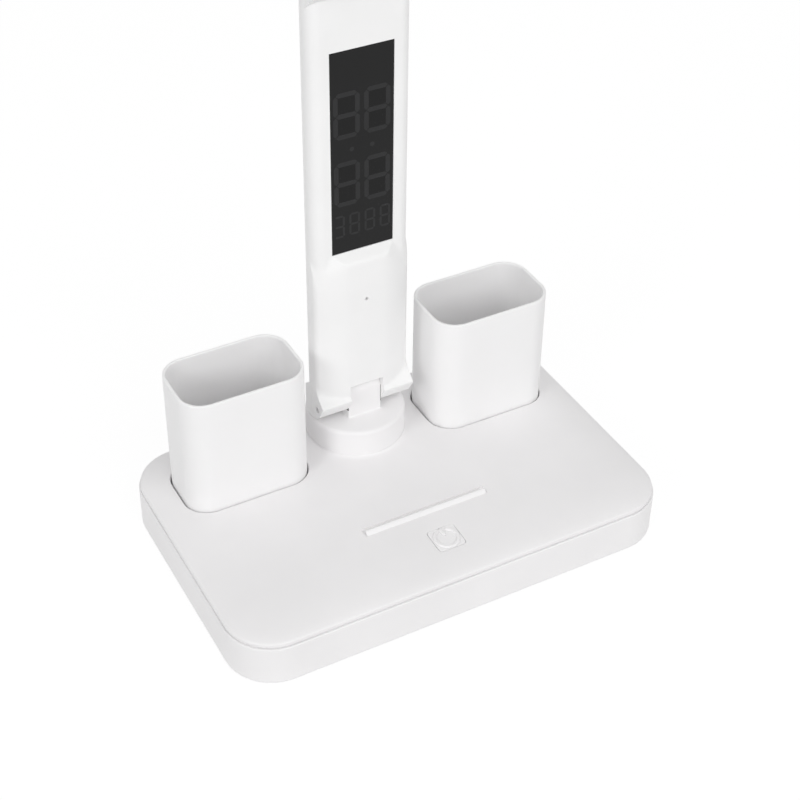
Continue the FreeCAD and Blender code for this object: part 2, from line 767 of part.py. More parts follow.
for z, name in zip(clock_key_z, ("mode_button", "up_button", "down_button")):
    stem_y = inner_wall_y - flange_gap
    stem = cylinder(clock_key_radius, arm_back_y + clock_key_proud - stem_y, (0, stem_y, z), Y_AXIS)
    cap_edges = [e for e in stem.Edges if len(e.Vertexes) == 1 and e.Vertexes[0].Y > arm_back_y]
    stem = stem.makeFillet(0.4, cap_edges)
    flange = cylinder(clock_key_radius + 0.9, flange_thickness, (0, stem_y - flange_thickness, z), Y_AXIS)
    parts[name] = stem.fuse(flange)

# ---------------------------------------------------------------- upper hinge
upper_pin_half = half_arm - 1.0
parts["upper_hinge_pin"] = cylinder(
    upper_pin_radius,
    2 * upper_pin_half,
    (-upper_pin_half, upper_axis_y, upper_axis_z),
    X_AXIS,
)

# ---------------------------------------------------------------- light bar, drawn straight up
bar_front_y = arm_front_y
bar_back_y = bar_front_y + bar_thickness
bar_start_z = upper_axis_z + 2.5
bar_end_z = upper_axis_z + bar_length
bar_seam_y = bar_front_y + 5.0


def bar_plate(y0, y1, margin=0.0, corner=bar_corner):
    """Slab of the light bar's outline, margin inside it, from y0 to y1."""
    height = bar_end_z - bar_start_z - 2 * margin
    plate = rounded_prism(arm_width - 2 * margin, height, corner, 0.0, y1 - y0)
    plate.rotate(Vector(0, 0, 0), X_AXIS, -90)
    plate.translate(Vector(0, y0, (bar_start_z + bar_end_z) / 2))
    return plate


bar_body = bar_plate(bar_front_y, bar_back_y)
square_end = box(-half_arm, half_arm, bar_front_y, bar_back_y, bar_start_z, bar_start_z + 10.0)
bar_body = bar_body.fuse(square_end)
knuckle = cylinder(
    barrel_radius,
    2 * knuckle_half_width,
    (-knuckle_half_width, upper_axis_y, upper_axis_z),
    X_AXIS,
)
knuckle_web = side_profile(
    (
        (upper_axis_y - 2.4, upper_axis_z + 4.7),
        (bar_front_y, bar_start_z + 7.0),
        (bar_front_y + 3.0, bar_start_z + 7.0),
        (bar_front_y + 3.0, upper_axis_z + 2.0),
        (upper_axis_y, upper_axis_z),
    ),
    -knuckle_half_width,
    knuckle_half_width,
)
ear_clearance = 0.4
ear_room = []
for x0 in (-half_arm - 1.0, knuckle_half_width):
    ear_room.append(
        cylinder(
            barrel_radius + ear_clearance,
            half_arm + 1.0 - knuckle_half_width,
            (x0, upper_axis_y, upper_axis_z),
            X_AXIS,
        )
    )
bar_body = bar_body.cut(ear_room).fuse([knuckle, knuckle_web])
bar_bore = cylinder(upper_pin_radius + running_clearance, 60.0, (-30, upper_axis_y, upper_axis_z), X_AXIS)
bar_body = bar_body.cut(bar_bore)

room_start_z = bar_start_z + 9.0
room_end_z = bar_end_z - 4.6
room = box(
    -half_arm + bar_wall,
    half_arm - bar_wall,
    bar_front_y + bar_wall,
    bar_back_y - bar_wall,
    room_start_z,
    room_end_z,
)
window_z0 = bar_start_z + window_start
window_z1 = bar_end_z - window_end
bar_window = box(-window_width / 2, window_width / 2, bar_front_y - 1, bar_front_y + 3, window_z0, window_z1)
bar_shell = bar_body.cut([room, bar_window])
bar_screw_places = [(side * 18.0, bar_start_z + 5.5) for side in (-1, 1)]
bar_screw_room = [cylinder(0.9, 6.0, (x, bar_back_y - 7.6, z), Y_AXIS) for x, z in bar_screw_places]
bar_screw_room += [cylinder(1.8, 3.0, (x, bar_back_y - 1.6, z), Y_AXIS) for x, z in bar_screw_places]
bar_shell = bar_shell.cut(bar_screw_room)
front_part = box(-50, 50, 0.0, bar_seam_y - seam_half, 200.0, 500.0)
back_part = box(-50, 50, bar_seam_y + seam_half, 60.0, 200.0, 500.0)
bar = {}
bar["light_bar_frame"] = bar_shell.common(front_part).removeSplitter()
bar["light_bar_back"] = bar_shell.common(back_part).removeSplitter()

diffuser_y = bar_front_y + 0.4
diffuser_thickness = 1.0
diffuser_gap = 0.1
bar["diffuser"] = box(
    -window_width / 2 + diffuser_gap,
    window_width / 2 - diffuser_gap,
    diffuser_y,
    diffuser_y + diffuser_thickness,
    window_z0 + diffuser_gap,
    window_z1 - diffuser_gap,
)
guide_y = bar_front_y + bar_wall + 0.1
guide_thickness = 2.5
bar["light_guide"] = box(
    -window_width / 2 - 0.4,
    window_width / 2 + 0.4,
    guide_y,
    guide_y + guide_thickness,
    window_z0 - 1.0,
    window_z1 + 0.5,
)
reflector_y = guide_y + guide_thickness
bar["reflector_sheet"] = box(
    -window_width / 2 - 0.4,
    window_width / 2 + 0.4,
    reflector_y,
    reflector_y + 0.4,
    window_z0 - 1.0,
    window_z1 + 0.5,
)
led_pitch = 8.0
led_count = 20
led_solids = []
for side in (-1, 1):
    strip_x = side * (window_width / 2 + 1.6)
    led_solids.append(box(strip_x - 0.4, strip_x + 0.4, guide_y, guide_y + 2.8, window_z0, window_z1))
    for index in range(led_count):
        z = window_z0 + 5.0 + index * led_pitch
        x0 = min(strip_x - side * 0.4, strip_x - side * 1.1)
        led_solids.append(box(x0, x0 + 0.7, guide_y + 0.4, guide_y + 2.2, z, z + 3.0))
bar["led_strips"] = compound(led_solids)
bar_screws = []
for x, z in bar_screw_places:
    head = cylinder(1.7, 1.3, (x, bar_back_y - 1.6, z), Y_AXIS)
    shank = cylinder(0.9, 6.0, (x, bar_back_y - 7.6, z), Y_AXIS)
    bar_screws.append(head.fuse(shank))
bar["light_bar_screws"] = compound(bar_screws)

for name, shape in bar.items():
    tipped = shape.copy()
    tipped.rotate(Vector(0, upper_axis_y, upper_axis_z), X_AXIS, bar_tip)
    parts[name] = tipped

# ---------------------------------------------------------------- write the pieces
os.makedirs("parts", exist_ok=True)
for name, shape in parts.items():
    valid = shape.isValid() and all(solid.isClosed() for solid in shape.Solids)
    print(f"{name}: solids {len(shape.Solids)}, volume {shape.Volume:.0f}, valid {valid}")
    shape.exportStep(os.path.join("parts", name + ".step"))
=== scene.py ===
"""Looks of the desk lamp with pen cups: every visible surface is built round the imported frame.

Sections follow the lamp as it is put together, from the stage it stands on to the light bar on top.
Shapes are worked out in millimetres and written to their meshes in metres.
"""
import math

import bmesh
import bpy
import numpy as np
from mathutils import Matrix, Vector
from mathutils.geometry import delaunay_2d_cdt


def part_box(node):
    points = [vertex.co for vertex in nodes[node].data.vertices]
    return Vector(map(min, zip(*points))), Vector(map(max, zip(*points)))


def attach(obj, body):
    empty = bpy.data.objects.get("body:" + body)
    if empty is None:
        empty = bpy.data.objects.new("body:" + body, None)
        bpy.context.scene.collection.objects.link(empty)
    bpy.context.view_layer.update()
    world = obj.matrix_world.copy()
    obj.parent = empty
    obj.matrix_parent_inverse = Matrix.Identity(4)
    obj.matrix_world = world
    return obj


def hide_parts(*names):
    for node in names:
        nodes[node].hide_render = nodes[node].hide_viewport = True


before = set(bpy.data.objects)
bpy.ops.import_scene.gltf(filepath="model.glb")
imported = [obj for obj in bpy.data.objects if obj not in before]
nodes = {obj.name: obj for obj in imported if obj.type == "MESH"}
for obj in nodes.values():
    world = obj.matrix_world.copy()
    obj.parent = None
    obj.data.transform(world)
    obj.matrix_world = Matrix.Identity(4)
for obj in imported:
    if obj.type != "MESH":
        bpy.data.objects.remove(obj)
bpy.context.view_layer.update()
scene = bpy.context.scene
scene.view_settings.view_transform = "Standard"

# ---------------------------------------------------------------- camera
# It stands above the lamp's front left: 27.7 degrees round and 36.8 degrees up, with a long lens.
camera_azimuth = math.radians(-27.659)
camera_elevation = math.radians(36.762)
camera = bpy.data.objects.new("camera", bpy.data.cameras.new("camera"))
scene.collection.objects.link(camera)
scene.camera = camera
towards_camera = Vector((
    math.sin(camera_azimuth) * math.cos(camera_elevation),
    -math.cos(camera_azimuth) * math.cos(camera_elevation),
    math.sin(camera_elevation),
))
camera.rotation_mode = "QUATERNION"
camera.rotation_quaternion = (-towards_camera).to_track_quat("-Z", "Y")
camera.location = (-0.26979, -0.48968, 0.52060)
camera.data.sensor_width = 36.0
camera.data.lens = 74.05
camera.data.shift_x = 0.0375
camera.data.shift_y = -0.075
camera.data.clip_start = 0.02

# ---------------------------------------------------------------- stage
# A white studio: even light from all round, a large soft lamp in front, a smaller one on the left that
# casts the crisper shadows, and a pale floor that shows white to the camera and keeps a faint shadow.
ambient = 0.545


def add_node(tree, kind, **values):
    """New shader node with these inputs set; a name's underscores stand for spaces."""
    node = tree.nodes.new("ShaderNode" + kind)
    for name, value in values.items():
        node.inputs[name.replace("_", " ")].default_value = value
    return node


def seen_directly(tree):
    """Socket that is 1 for camera, glossy and transmission rays and 0 for light on its way to a surface:
    the highest of three flags of the light path."""
    rays = add_node(tree, "LightPath")
    flag = rays.outputs["Is Camera Ray"]
    for kind in ("Is Glossy Ray", "Is Transmission Ray"):
        higher = add_node(tree, "Math")
        higher.operation = "MAXIMUM"
        tree.links.new(flag, higher.inputs[0])
        tree.links.new(rays.outputs[kind], higher.inputs[1])
        flag = higher.outputs[0]
    return flag


world = bpy.data.worlds.new("studio")
scene.world = world
world.use_nodes = True
sky = world.node_tree
sky_strength = add_node(sky, "MapRange", To_Min=ambient, To_Max=1.0)
sky.links.new(seen_directly(sky), sky_strength.inputs["Value"])
sky.links.new(sky_strength.outputs["Result"], sky.nodes["Background"].inputs["Strength"])
sky.nodes["Background"].inputs["Color"].default_value = (1.0, 1.0, 1.0, 1.0)


def soft_lamp(name, place, watts, size):
    """Square lamp of the given size in metres, aimed at the middle of the base."""
    lamp = bpy.data.lights.new(name, "AREA")
    lamp.size = size
    lamp.energy = watts
    holder = bpy.data.objects.new(name, lamp)
    holder.location = place
    holder.rotation_mode = "QUATERNION"
    holder.rotation_quaternion = (Vector(place) - Vector((0.0, 0.0, 0.08))).to_track_quat("Z", "Y")
    scene.collection.objects.link(holder)


soft_lamp("front_lamp", (0.23, -1.87, 1.38), 16.0, 1.6)
soft_lamp("left_lamp", (-1.82, -0.91, 1.08), 10.4, 0.7)

floor_half = 4.0
floor_corners = [(x * floor_half, y * floor_half, 0.0) for x, y in ((-1, -1), (1, -1), (1, 1), (-1, 1))]
floor_mesh = bpy.data.meshes.new("floor")
floor_mesh.from_pydata(floor_corners, [], [(0, 1, 2, 3)])
floor = bpy.data.objects.new("floor", floor_mesh)
scene.collection.objects.link(floor)
floor_paint = bpy.data.materials.new("white_floor")
floor_paint.use_nodes = True
paint = floor_paint.node_tree
paint.nodes.clear()
bounce = add_node(paint, "BsdfDiffuse", Color=(0.82, 0.82, 0.82, 1.0))
shadow_catch = add_node(paint, "BsdfDiffuse", Color=(0.14, 0.14, 0.14, 1.0))
glow = add_node(paint, "Emission", Strength=0.90)
seen_floor = add_node(paint, "AddShader")
pick = add_node(paint, "MixShader")
floor_out = add_node(paint, "OutputMaterial")
paint.links.new(shadow_catch.outputs[0], seen_floor.inputs[0])
paint.links.new(glow.outputs[0], seen_floor.inputs[1])
paint.links.new(seen_directly(paint), pick.inputs["Fac"])
paint.links.new(bounce.outputs[0], pick.inputs[1])
paint.links.new(seen_floor.outputs[0], pick.inputs[2])
paint.links.new(pick.outputs[0], floor_out.inputs["Surface"])
floor_mesh.materials.append(floor_paint)

# ---------------------------------------------------------------- base bottom cover
# The deep tray of the base: one moulding in white satin ABS, its outside finely spark-grained.
# Six screws from below pull it up against the top cover.


def grained(name, colour, roughness, grain_mm, grain_depth_mm, mottle=0.012, specular=0.5):
    """Moulded plastic or rubber: a fine even grain in the surface, and colour and gloss that drift a
    little with a broad soft noise."""
    material = bpy.data.materials.new(name)
    material.use_nodes = True
    tree = material.node_tree
    shader = tree.nodes["Principled BSDF"]
    place = add_node(tree, "TexCoord")
    drift = add_node(tree, "TexNoise", Scale=28.0, Detail=2.0)
    tint = add_node(tree, "ValToRGB")
    shade = 1.0 - 2.0 * mottle
    tint.color_ramp.elements[0].position = 0.35
    tint.color_ramp.elements[1].position = 0.65
    tint.color_ramp.elements[0].color = (colour[0] * shade, colour[1] * shade, colour[2] * shade, 1.0)
    tint.color_ramp.elements[1].color = (colour[0], colour[1], colour[2], 1.0)
    gloss = add_node(tree, "MapRange", To_Min=roughness - 0.04, To_Max=roughness + 0.04)
    grain = add_node(tree, "TexNoise", Scale=1000.0 / grain_mm, Detail=3.0)
    bump = add_node(tree, "Bump", Strength=0.6, Distance=grain_depth_mm * 0.001)
    tree.links.new(place.outputs["Object"], drift.inputs["Vector"])
    tree.links.new(place.outputs["Object"], grain.inputs["Vector"])
    tree.links.new(drift.outputs["Fac"], tint.inputs["Fac"])
    tree.links.new(drift.outputs["Fac"], gloss.inputs["Value"])
    tree.links.new(grain.outputs["Fac"], bump.inputs["Height"])
    tree.links.new(tint.outputs["Color"], shader.inputs["Base Color"])
    tree.links.new(gloss.outputs["Result"], shader.inputs["Roughness"])
    tree.links.new(bump.outputs["Normal"], shader.inputs["Normal"])
    shader.inputs["Specular IOR Level"].default_value = specular
    return material


def dress(material, *names):
    """Puts one material on every slot of these carried-over nodes."""
    for name in names:
        for slot in nodes[name].material_slots:
            slot.material = material


def size_of(name):
    """(lowest corner, highest corner) of a carried-over node, in millimetres."""
    low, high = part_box(name)
    return np.array(low) * 1000.0, np.array(high) * 1000.0


satin_white = grained("satin_white_shell", (0.930, 0.920, 0.925), 0.46, 0.45, 0.010)
dress(satin_white, "base_bottom_cover", "board_standoffs")

# ---------------------------------------------------------------- base top cover
# A shallow pillow of the same white ABS, moulded in one piece and screwed to the tray, 0.7 mm in from
# its wall. Two deep wells hold the pen cups, a shallow one the turntable and a small one the touch
# key, and a low rib with a sheer back keeps a phone that leans on the arm from sliding forward.
tray_low, tray_high = size_of("base_bottom_cover")
base_width, base_depth = tray_high[:2] - tray_low[:2]
base_corner = 22.0
corner_shrink = 0.6
edge_z, edge_inset, edge_top_z = 21.65, 0.7, 23.1
skirt_z, skirt_inset = 22.45, 1.5
crown_reach, crown_rise = 28.0, 4.65
crown_from, crown_to = 1.0, 1.6


def outline(width, depth, corner, x=0.0, y=0.0, arc=10, along=20, across=12):
    """Rounded rectangle as an (n, 2) array, anticlockwise: quarter circles of arc steps, and between
    them straight sides of along steps (front and back) or across steps (left and right)."""
    turn = np.linspace(0.0, np.pi / 2, arc + 1)
    ends = np.array([[1, 1], [-1, 1], [-1, -1], [1, -1]])
    centres = ends * (np.array([width, depth]) / 2 - corner) + np.array([x, y])
    runs = []
    for index in range(4):
        angle = turn + index * np.pi / 2
        runs.append(centres[index] + corner * np.column_stack([np.cos(angle), np.sin(angle)]))
        heading = np.array([math.cos(angle[-1]), math.sin(angle[-1])])
        following = centres[(index + 1) % 4] + corner * heading
        steps = along if index % 2 == 0 else across
        share = np.linspace(0.0, 1.0, steps + 1)[1:-1, None]
        runs.append(runs[-1][-1] * (1 - share) + following * share)
    return np.vstack(runs)


def circle(radius, x=0.0, y=0.0, steps=96):
    """Circle as an (n, 2) array, anticlockwise."""
    angle = np.linspace(0.0, 2 * np.pi, steps, endpoint=False)
    return np.column_stack([x + radius * np.cos(angle), y + radius * np.sin(angle)])


def inset_of(points):
    """How far in from the base's edge each point is: the inset whose rounded rectangle, with its
    corner radius shrunk in step, passes through it. Found by halving an interval 24 times."""
    near = np.zeros(len(points))
    far = np.full(len(points), base_depth / 2 - 0.5)
    for _ in range(24):
        middle = (near + far) / 2
        radius = np.maximum(base_corner - corner_shrink * middle, 1.0)
        half = np.array([base_width, base_depth]) / 2 - middle[:, None] - radius[:, None]
        past = np.abs(points) - half
        outside = np.hypot(*np.maximum(past, 0.0).T) + np.minimum(past.max(axis=1), 0.0) - radius
        near = np.where(outside < 0, middle, near)
        far = np.where(outside < 0, far, middle)
    return near


def cover_height(points):
    """Height of the pillow: where the ellipse starts plus a quarter ellipse of the inset."""
    share = np.clip(inset_of(points) / crown_reach, 0.0, 1.0)
    return skirt_z + crown_rise * np.sqrt(1.0 - (1.0 - share) ** 2)


def stand(loop, height):
    """Gives flat points a height: one number, or one for each."""
    return np.column_stack([loop, np.broadcast_to(height, len(loop))])


def band(loops):
    """Ring of quads between each closed loop and the next; the loops have equally many points."""
    rows, columns = len(loops), len(loops[0])
    corner = np.arange(rows - 1)[:, None] * columns + np.arange(columns)[None, :]
    beside = np.arange(rows - 1)[:, None] * columns + (np.arange(columns)[None, :] + 1) % columns
    quads = np.stack([corner, beside, beside + columns, corner + columns], axis=-1).reshape(-1, 4)
    return np.vstack(loops), quads


def sheet(grid, keep=None):
    """Quads between the points of a (rows, columns, 3) grid, or only in those cells that keep marks."""
    rows, columns = grid.shape[:2]
    row, column = np.nonzero(np.ones((rows - 1, columns - 1), bool) if keep is None else keep)
    first = row * columns + column
    return grid.reshape(-1, 3), np.column_stack([first, first + 1, first + columns + 1, first + columns])


def fill(loops, spots, lift):
    """Triangles over the area inside the first flat loop and outside the others, with extra spots in it;
    lift turns (n, 2) points into (n, 3). Constrained Delaunay, then an odd-even test of each triangle's
    middle against every loop edge."""
    edges, start = [], 0
    for loop in loops:
        index = np.arange(len(loop))
        edges += np.column_stack([start + index, start + (index + 1) % len(loop)]).tolist()
        start += len(loop)
    points = np.vstack(list(loops) + [spots]) if len(spots) else np.vstack(loops)
    corners = [Vector(point) for point in points.tolist()]
    flat, _, triangles, *_ = delaunay_2d_cdt(corners, edges, [], 0, 1e-6, False)
    flat = np.array([tuple(p) for p in flat])
    triangles = np.array([list(t) for t in triangles])
    middle = flat[triangles].mean(axis=1)
    head = np.vstack(loops)
    tail = np.vstack([np.roll(loop, -1, axis=0) for loop in loops])
    crosses = (head[:, 1] > middle[:, 1:2]) != (tail[:, 1] > middle[:, 1:2])
    rise = np.where(tail[:, 1] == head[:, 1], 1.0, tail[:, 1] - head[:, 1])
    at_x = head[:, 0] + (middle[:, 1:2] - head[:, 1]) * (tail[:, 0] - head[:, 0]) / rise
    inside = (crosses & (middle[:, 0:1] < at_x)).sum(axis=1) % 2 == 1
    return lift(flat), triangles[inside]


def level(height):
    """Lift for a fill that lies level at this height."""
    return lambda points: stand(points, height)


def skin(points):
    """Lift for a fill that lies on the pillow."""
    return stand(points, cover_height(points))


def weld(name, blocks, material, sharp=35.0):
    """One closed mesh object from blocks of (points in mm, faces): points that meet are merged, faces
    turned outwards, and edges sharper than the given angle kept crisp."""
    points, faces, start = [], [], 0
    for block_points, block_faces in blocks:
        points.append(block_points)
        faces += (np.asarray(block_faces) + start).tolist()
        start += len(block_points)
    mesh = bpy.data.meshes.new(name)
    mesh.from_pydata((np.vstack(points) * 0.001).tolist(), [], faces)
    work = bmesh.new()
    work.from_mesh(mesh)
    bmesh.ops.remove_doubles(work, verts=work.verts, dist=2e-6)
    bmesh.ops.dissolve_degenerate(work, edges=work.edges, dist=1e-7)
    bmesh.ops.delete(work, geom=[vert for vert in work.verts if not vert.link_faces], context="VERTS")
    bmesh.ops.recalc_face_normals(work, faces=work.faces)
    work.to_mesh(mesh)
    work.free()
    mesh.shade_smooth()
    mesh.materials.append(material)
    piece = bpy.data.objects.new(name, mesh)
    scene.collection.objects.link(piece)
    mesh.set_sharp_from_angle(angle=math.radians(sharp))
    return piece


def apart(spots, loops, distance):
    """The spots that keep at least this distance from every loop point."""
    others = np.vstack(loops)
    gap = np.hypot(*(spots[:, None, :] - others[None, :, :]).transpose(2, 0, 1)).min(axis=1)
    return spots[gap > distance]


def base_loop(inset):
    """The base's outline, this far in from its edge."""
    corner = max(base_corner - corner_shrink * inset, 1.0)
    return outline(base_width - 2 * inset, base_depth - 2 * inset, corner, arc=16, along=68, across=40)


cup_low, cup_high = size_of("right_pen_cup")
cup_size = cup_high - cup_low
cup_centre = (cup_high + cup_low) / 2
cup_corner = 11.65
pocket_gap, pocket_front, pocket_round = 0.7, 0.3, 1.0
pocket_floor_z = 17.0
disc_low, disc_high = size_of("turntable")
disc_y = 40.0
disc_radius = disc_high[0]
seat_z = 26.5
key_low, key_high = size_of("touch_key")
key_size = key_high - key_low
key_centre = (key_high + key_low) / 2
key_clear, key_corner, key_floor_z = 0.1, 1.7, key_low[2] - 0.2
rib_length, rib_height, rib_groove, rib_end_groove = 59.6, 1.55, 0.8, 0.8
rib_front_y, rib_ridge_y, rib_back_y = -29.6, -27.8, -24.9


def quarter_round(radius, steps=6):
    """A rounded edge as steps + 1 pairs of lengths: radius (1 - sin turn), which falls from the radius
    to nothing, and radius (1 - cos turn), which grows from nothing to the radius."""
    turn = np.linspace(0.0, np.pi / 2, steps + 1)
    return radius * np.column_stack([1 - np.sin(turn), 1 - np.cos(turn)])


def rim(shape, radius, drop_to):
    """Rounded edge of a well: from the skin, radius outside the well's outline, round a quarter circle
    to its wall, then straight down. shape(grow) is the outline grown outwards."""
    loops = []
    for out, down in quarter_round(radius, 5):
        loop = shape(out)
        loops.append(stand(loop, cover_height(loop) - down))
    loops.append(stand(shape(0.0), drop_to))
    return loops


def cup_pocket(side, grow):
    """A pocket's outline, grown outwards: the cup's own plus a gap all round, which is less in front."""
    width, depth = cup_size[:2] + 2 * (pocket_gap + grow) - (0.0, pocket_front)
    return outline(width, depth, cup_corner + pocket_gap + grow - pocket_front / 2, side * cup_centre[0],
                   cup_centre[1] + pocket_front / 2)


def key_well(grow):
    """Outline of the touch key's well, grown outwards."""
    width, depth = key_size[:2] + 2 * (key_clear + grow)
    return outline(width, depth, key_corner + grow, key_centre[0], key_centre[1], arc=6, along=6, across=6)


def rib_height_at(points):
    """Height over the pillow: a slope from the front up to the ridge, 1 - (1 - share) ** 1.25 of the
    rib's height, then a sheer back with a groove behind it, and sheer ends with a groove that runs out
    towards the front."""
    x, y = np.abs(points[:, 0]), points[:, 1]
    share = np.clip((y - rib_front_y) / (rib_ridge_y - rib_front_y), 0.0, 1.0)
    slope = rib_height * (1.0 - (1.0 - share) ** 1.25)
    body = np.where(y > rib_ridge_y + 0.01, -rib_groove, slope)
    beyond = np.where(x > rib_length / 2 + 0.01, -rib_groove * share, body)
    border = (y > rib_back_y - 0.01) | (x > rib_length / 2 + rib_end_groove - 0.01) | (share < 0.001)
    return np.where(border, 0.0, beyond)


def seat_loop(radius):
    """Circle about the turntable's axis."""
    return circle(radius, 0.0, disc_y)


pocket_rim, key_rim, seat_rim = 0.6, 0.2, 3.0
edge_rows = [(edge_inset + 0.2, edge_z), (edge_inset + 0.06, edge_z + 0.06), (edge_inset, edge_z + 0.2)]
edge_rows += [(edge_inset, edge_top_z), (edge_inset + 0.03, edge_top_z + 0.18),
              (edge_inset + 0.12, edge_top_z + 0.35)]
crown_turn = np.arccos(1 - np.array([crown_from, crown_to]) / crown_reach)
edge_rows += [(crown_reach * (1 - math.cos(turn)), skirt_z + crown_rise * math.sin(turn))
              for turn in np.linspace(*crown_turn, 4)]
cover = [band([stand(base_loop(inset), height) for inset, height in edge_rows])]
openings = []
for side in (-1, 1):
    loops = rim(lambda grow: cup_pocket(side, grow), pocket_rim, pocket_floor_z + pocket_round)
    for up, inwards in quarter_round(pocket_round, 4):
        loops.append(stand(cup_pocket(side, -inwards), pocket_floor_z + up))
    cover.append(band(loops))
    cover.append(fill([cup_pocket(side, -pocket_round)], [], level(pocket_floor_z)))
    openings.append(cup_pocket(side, pocket_rim))

cover.append(band(rim(key_well, key_rim, key_floor_z)))
cover.append(fill([key_well(0.0)], [], level(key_floor_z)))
openings.append(key_well(key_rim))

# the rib: a grid whose outer points lie on the pillow and meet the opening left for it
half_rib = rib_length / 2
rib_ends = np.array([half_rib - 0.1, half_rib, half_rib + 0.04, half_rib + rib_end_groove - 0.03,
                     half_rib + rib_end_groove])
rib_x = np.concatenate([-rib_ends[::-1], np.linspace(-half_rib + 2.5, half_rib - 2.5, 23), rib_ends])
rib_y = np.concatenate([np.linspace(rib_front_y, rib_ridge_y - 0.12, 7),
                        [rib_ridge_y, rib_ridge_y + 0.04, rib_back_y - 0.9, rib_back_y - 0.03, rib_back_y]])
flat = np.array([(x, y) for y in rib_y for x in rib_x])
rib = stand(flat, cover_height(flat) + rib_height_at(flat))
cover.append(sheet(rib.reshape(len(rib_y), len(rib_x), 3)))
rib_border = [(x, rib_y[0]) for x in rib_x] + [(rib_x[-1], y) for y in rib_y[1:]]
rib_border += [(x, rib_y[-1]) for x in rib_x[-2::-1]] + [(rib_x[0], y) for y in rib_y[-2:0:-1]]
openings.append(np.array(rib_border))

# the turntable's seat: a low collar, hollow-filleted into the pillow, hugs the drum
seat_inner = disc_radius + 0.03
collar_width, collar_z = 0.25, skirt_z + crown_rise + 0.9
seat_outer = seat_inner + collar_width
spigot_hole = 9.3
loops = []
for out, share in quarter_round(1.0):
    loop = seat_loop(seat_outer + seat_rim * out)
    proud = np.maximum(collar_z - cover_height(loop), 0.0)
    loops.append(stand(loop, cover_height(loop) + proud * share))
for out, share in quarter_round(1.0, 3):
    loops.append(stand(seat_loop(seat_inner + collar_width * out), collar_z - 0.1 * share))
loops.append(stand(seat_loop(seat_inner), seat_z))
bore = seat_loop(spigot_hole)
cover.append(band(loops))
cover.append(fill([seat_loop(seat_inner), bore], [], level(seat_z)))
openings.append(seat_loop(seat_outer + seat_rim))

# the pillow between the openings, with rows of points that follow the base's outline inwards
first_loop = base_loop(crown_to)
insets = (2.3, 3.2, 4.4, 5.8, 7.5, 9.5, 12.0, 15.0, 18.5, 22.5, 27.0, 33.0, 40.0, 48.0, 57.0)
spots = np.vstack([base_loop(inset) for inset in insets])
taken = np.hypot(spots[:, 0], spots[:, 1] - disc_y) < seat_outer + seat_rim + 0.6
taken |= (np.abs(spots - key_centre[:2]) < key_size[:2] / 2 + 1.0).all(axis=1)
rib_middle = np.array([0.0, (rib_front_y + rib_back_y) / 2])
rib_reach = np.array([half_rib + 1.4, (rib_back_y - rib_front_y) / 2 + 0.8])
taken |= (np.abs(spots - rib_middle) < rib_reach).all(axis=1)
for side in (-1, 1):
    away = np.abs(spots - np.array([side * cup_centre[0], cup_centre[1]]))
    taken |= (away < cup_size[:2] / 2 + 2.0).all(axis=1)
spots = spots[~taken]
cover.append(fill([first_loop] + openings, apart(spots, openings + [first_loop], 0.6), skin))

# underside: the skirt's flat edge, the inside of the pillow, and the outsides of the two cup wells
wall, well_wall, well_floor = 2.2, 1.6, 1.8


def under_skin(points):
    """Lift for a fill one wall's thickness below the pillow."""
    return stand(points, cover_height(points) - wall)


under_loop = base_loop(crown_reach * (1 - math.sqrt(1 - (wall / crown_rise) ** 2)))
cover.append(band([stand(base_loop(edge_rows[0][0]), edge_z), stand(base_loop(skirt_inset), edge_z),
                   stand(base_loop(skirt_inset), skirt_z), stand(under_loop, skirt_z)]))
wells = [cup_pocket(side, well_wall) for side in (-1, 1)]
for tub in wells:
    cover.append(band([under_skin(tub), stand(tub, pocket_floor_z - well_floor)]))
    cover.append(fill([tub], [], level(pocket_floor_z - well_floor)))
cover.append(band([stand(bore, seat_z), under_skin(bore)]))
inner_spots = apart(spots[inset_of(spots) > 6.0], wells + [bore, under_loop], 1.5)
cover.append(fill([under_loop] + wells + [bore], inner_spots, under_skin))
base_top = weld("base_top_skin", cover, satin_white)
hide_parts("base_top_cover")
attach(base_top, "base")

# ---------------------------------------------------------------- touch key
# A square cap of the same ABS that follows the pillow, its edge a hair above it, with a power symbol
# moulded proud of it: an open ring and a bar in its gap. The spring below carries the touch to the board.
key_proud, key_gap, key_round = 0.15, 0.2, 0.2
symbol_radius, symbol_half_line, symbol_gap = 5.2, 0.62, math.radians(30.4)
symbol_bar = (2.25, 5.15)
symbol_rise, symbol_ease, symbol_moat, moat_half = 0.5, 0.24, 0.25, 0.3
satin_key = grained("satin_white_key", (0.948, 0.938, 0.943), 0.42, 0.5, 0.006)


def symbol_distance(points):
    """Distance from the symbol's centre lines: a circle open at the back, and a straight bar."""
    away = points - key_centre[:2]
    bearing = np.abs(np.arctan2(away[:, 0], away[:, 1]))
    end_x = symbol_radius * math.sin(symbol_gap)
    end_y = symbol_radius * math.cos(symbol_gap)
    from_end = np.hypot(np.abs(away[:, 0]) - end_x, away[:, 1] - end_y)
    from_ring = np.abs(np.hypot(away[:, 0], away[:, 1]) - symbol_radius)
    from_bar = np.hypot(away[:, 0], away[:, 1] - np.clip(away[:, 1], *symbol_bar))
    return np.minimum(np.where(bearing > symbol_gap, from_ring, from_end), from_bar)


def key_skin(points):
    """The pillow, raised a little, plus the symbol's strokes in a moat: the strokes' edges follow
    3 s^2 - 2 s^3 across their easing, and the moat is a V beside them."""
    distance = symbol_distance(points)
    share = np.clip((symbol_half_line + symbol_ease / 2 - distance) / symbol_ease, 0.0, 1.0)
    raised = symbol_rise * share * share * (3 - 2 * share)
    from_moat = np.abs(distance - symbol_half_line - moat_half)
    moat = symbol_moat * np.clip(1.0 - from_moat / moat_half, 0.0, 1.0)
    return stand(points, cover_height(points) + key_proud + raised - moat)


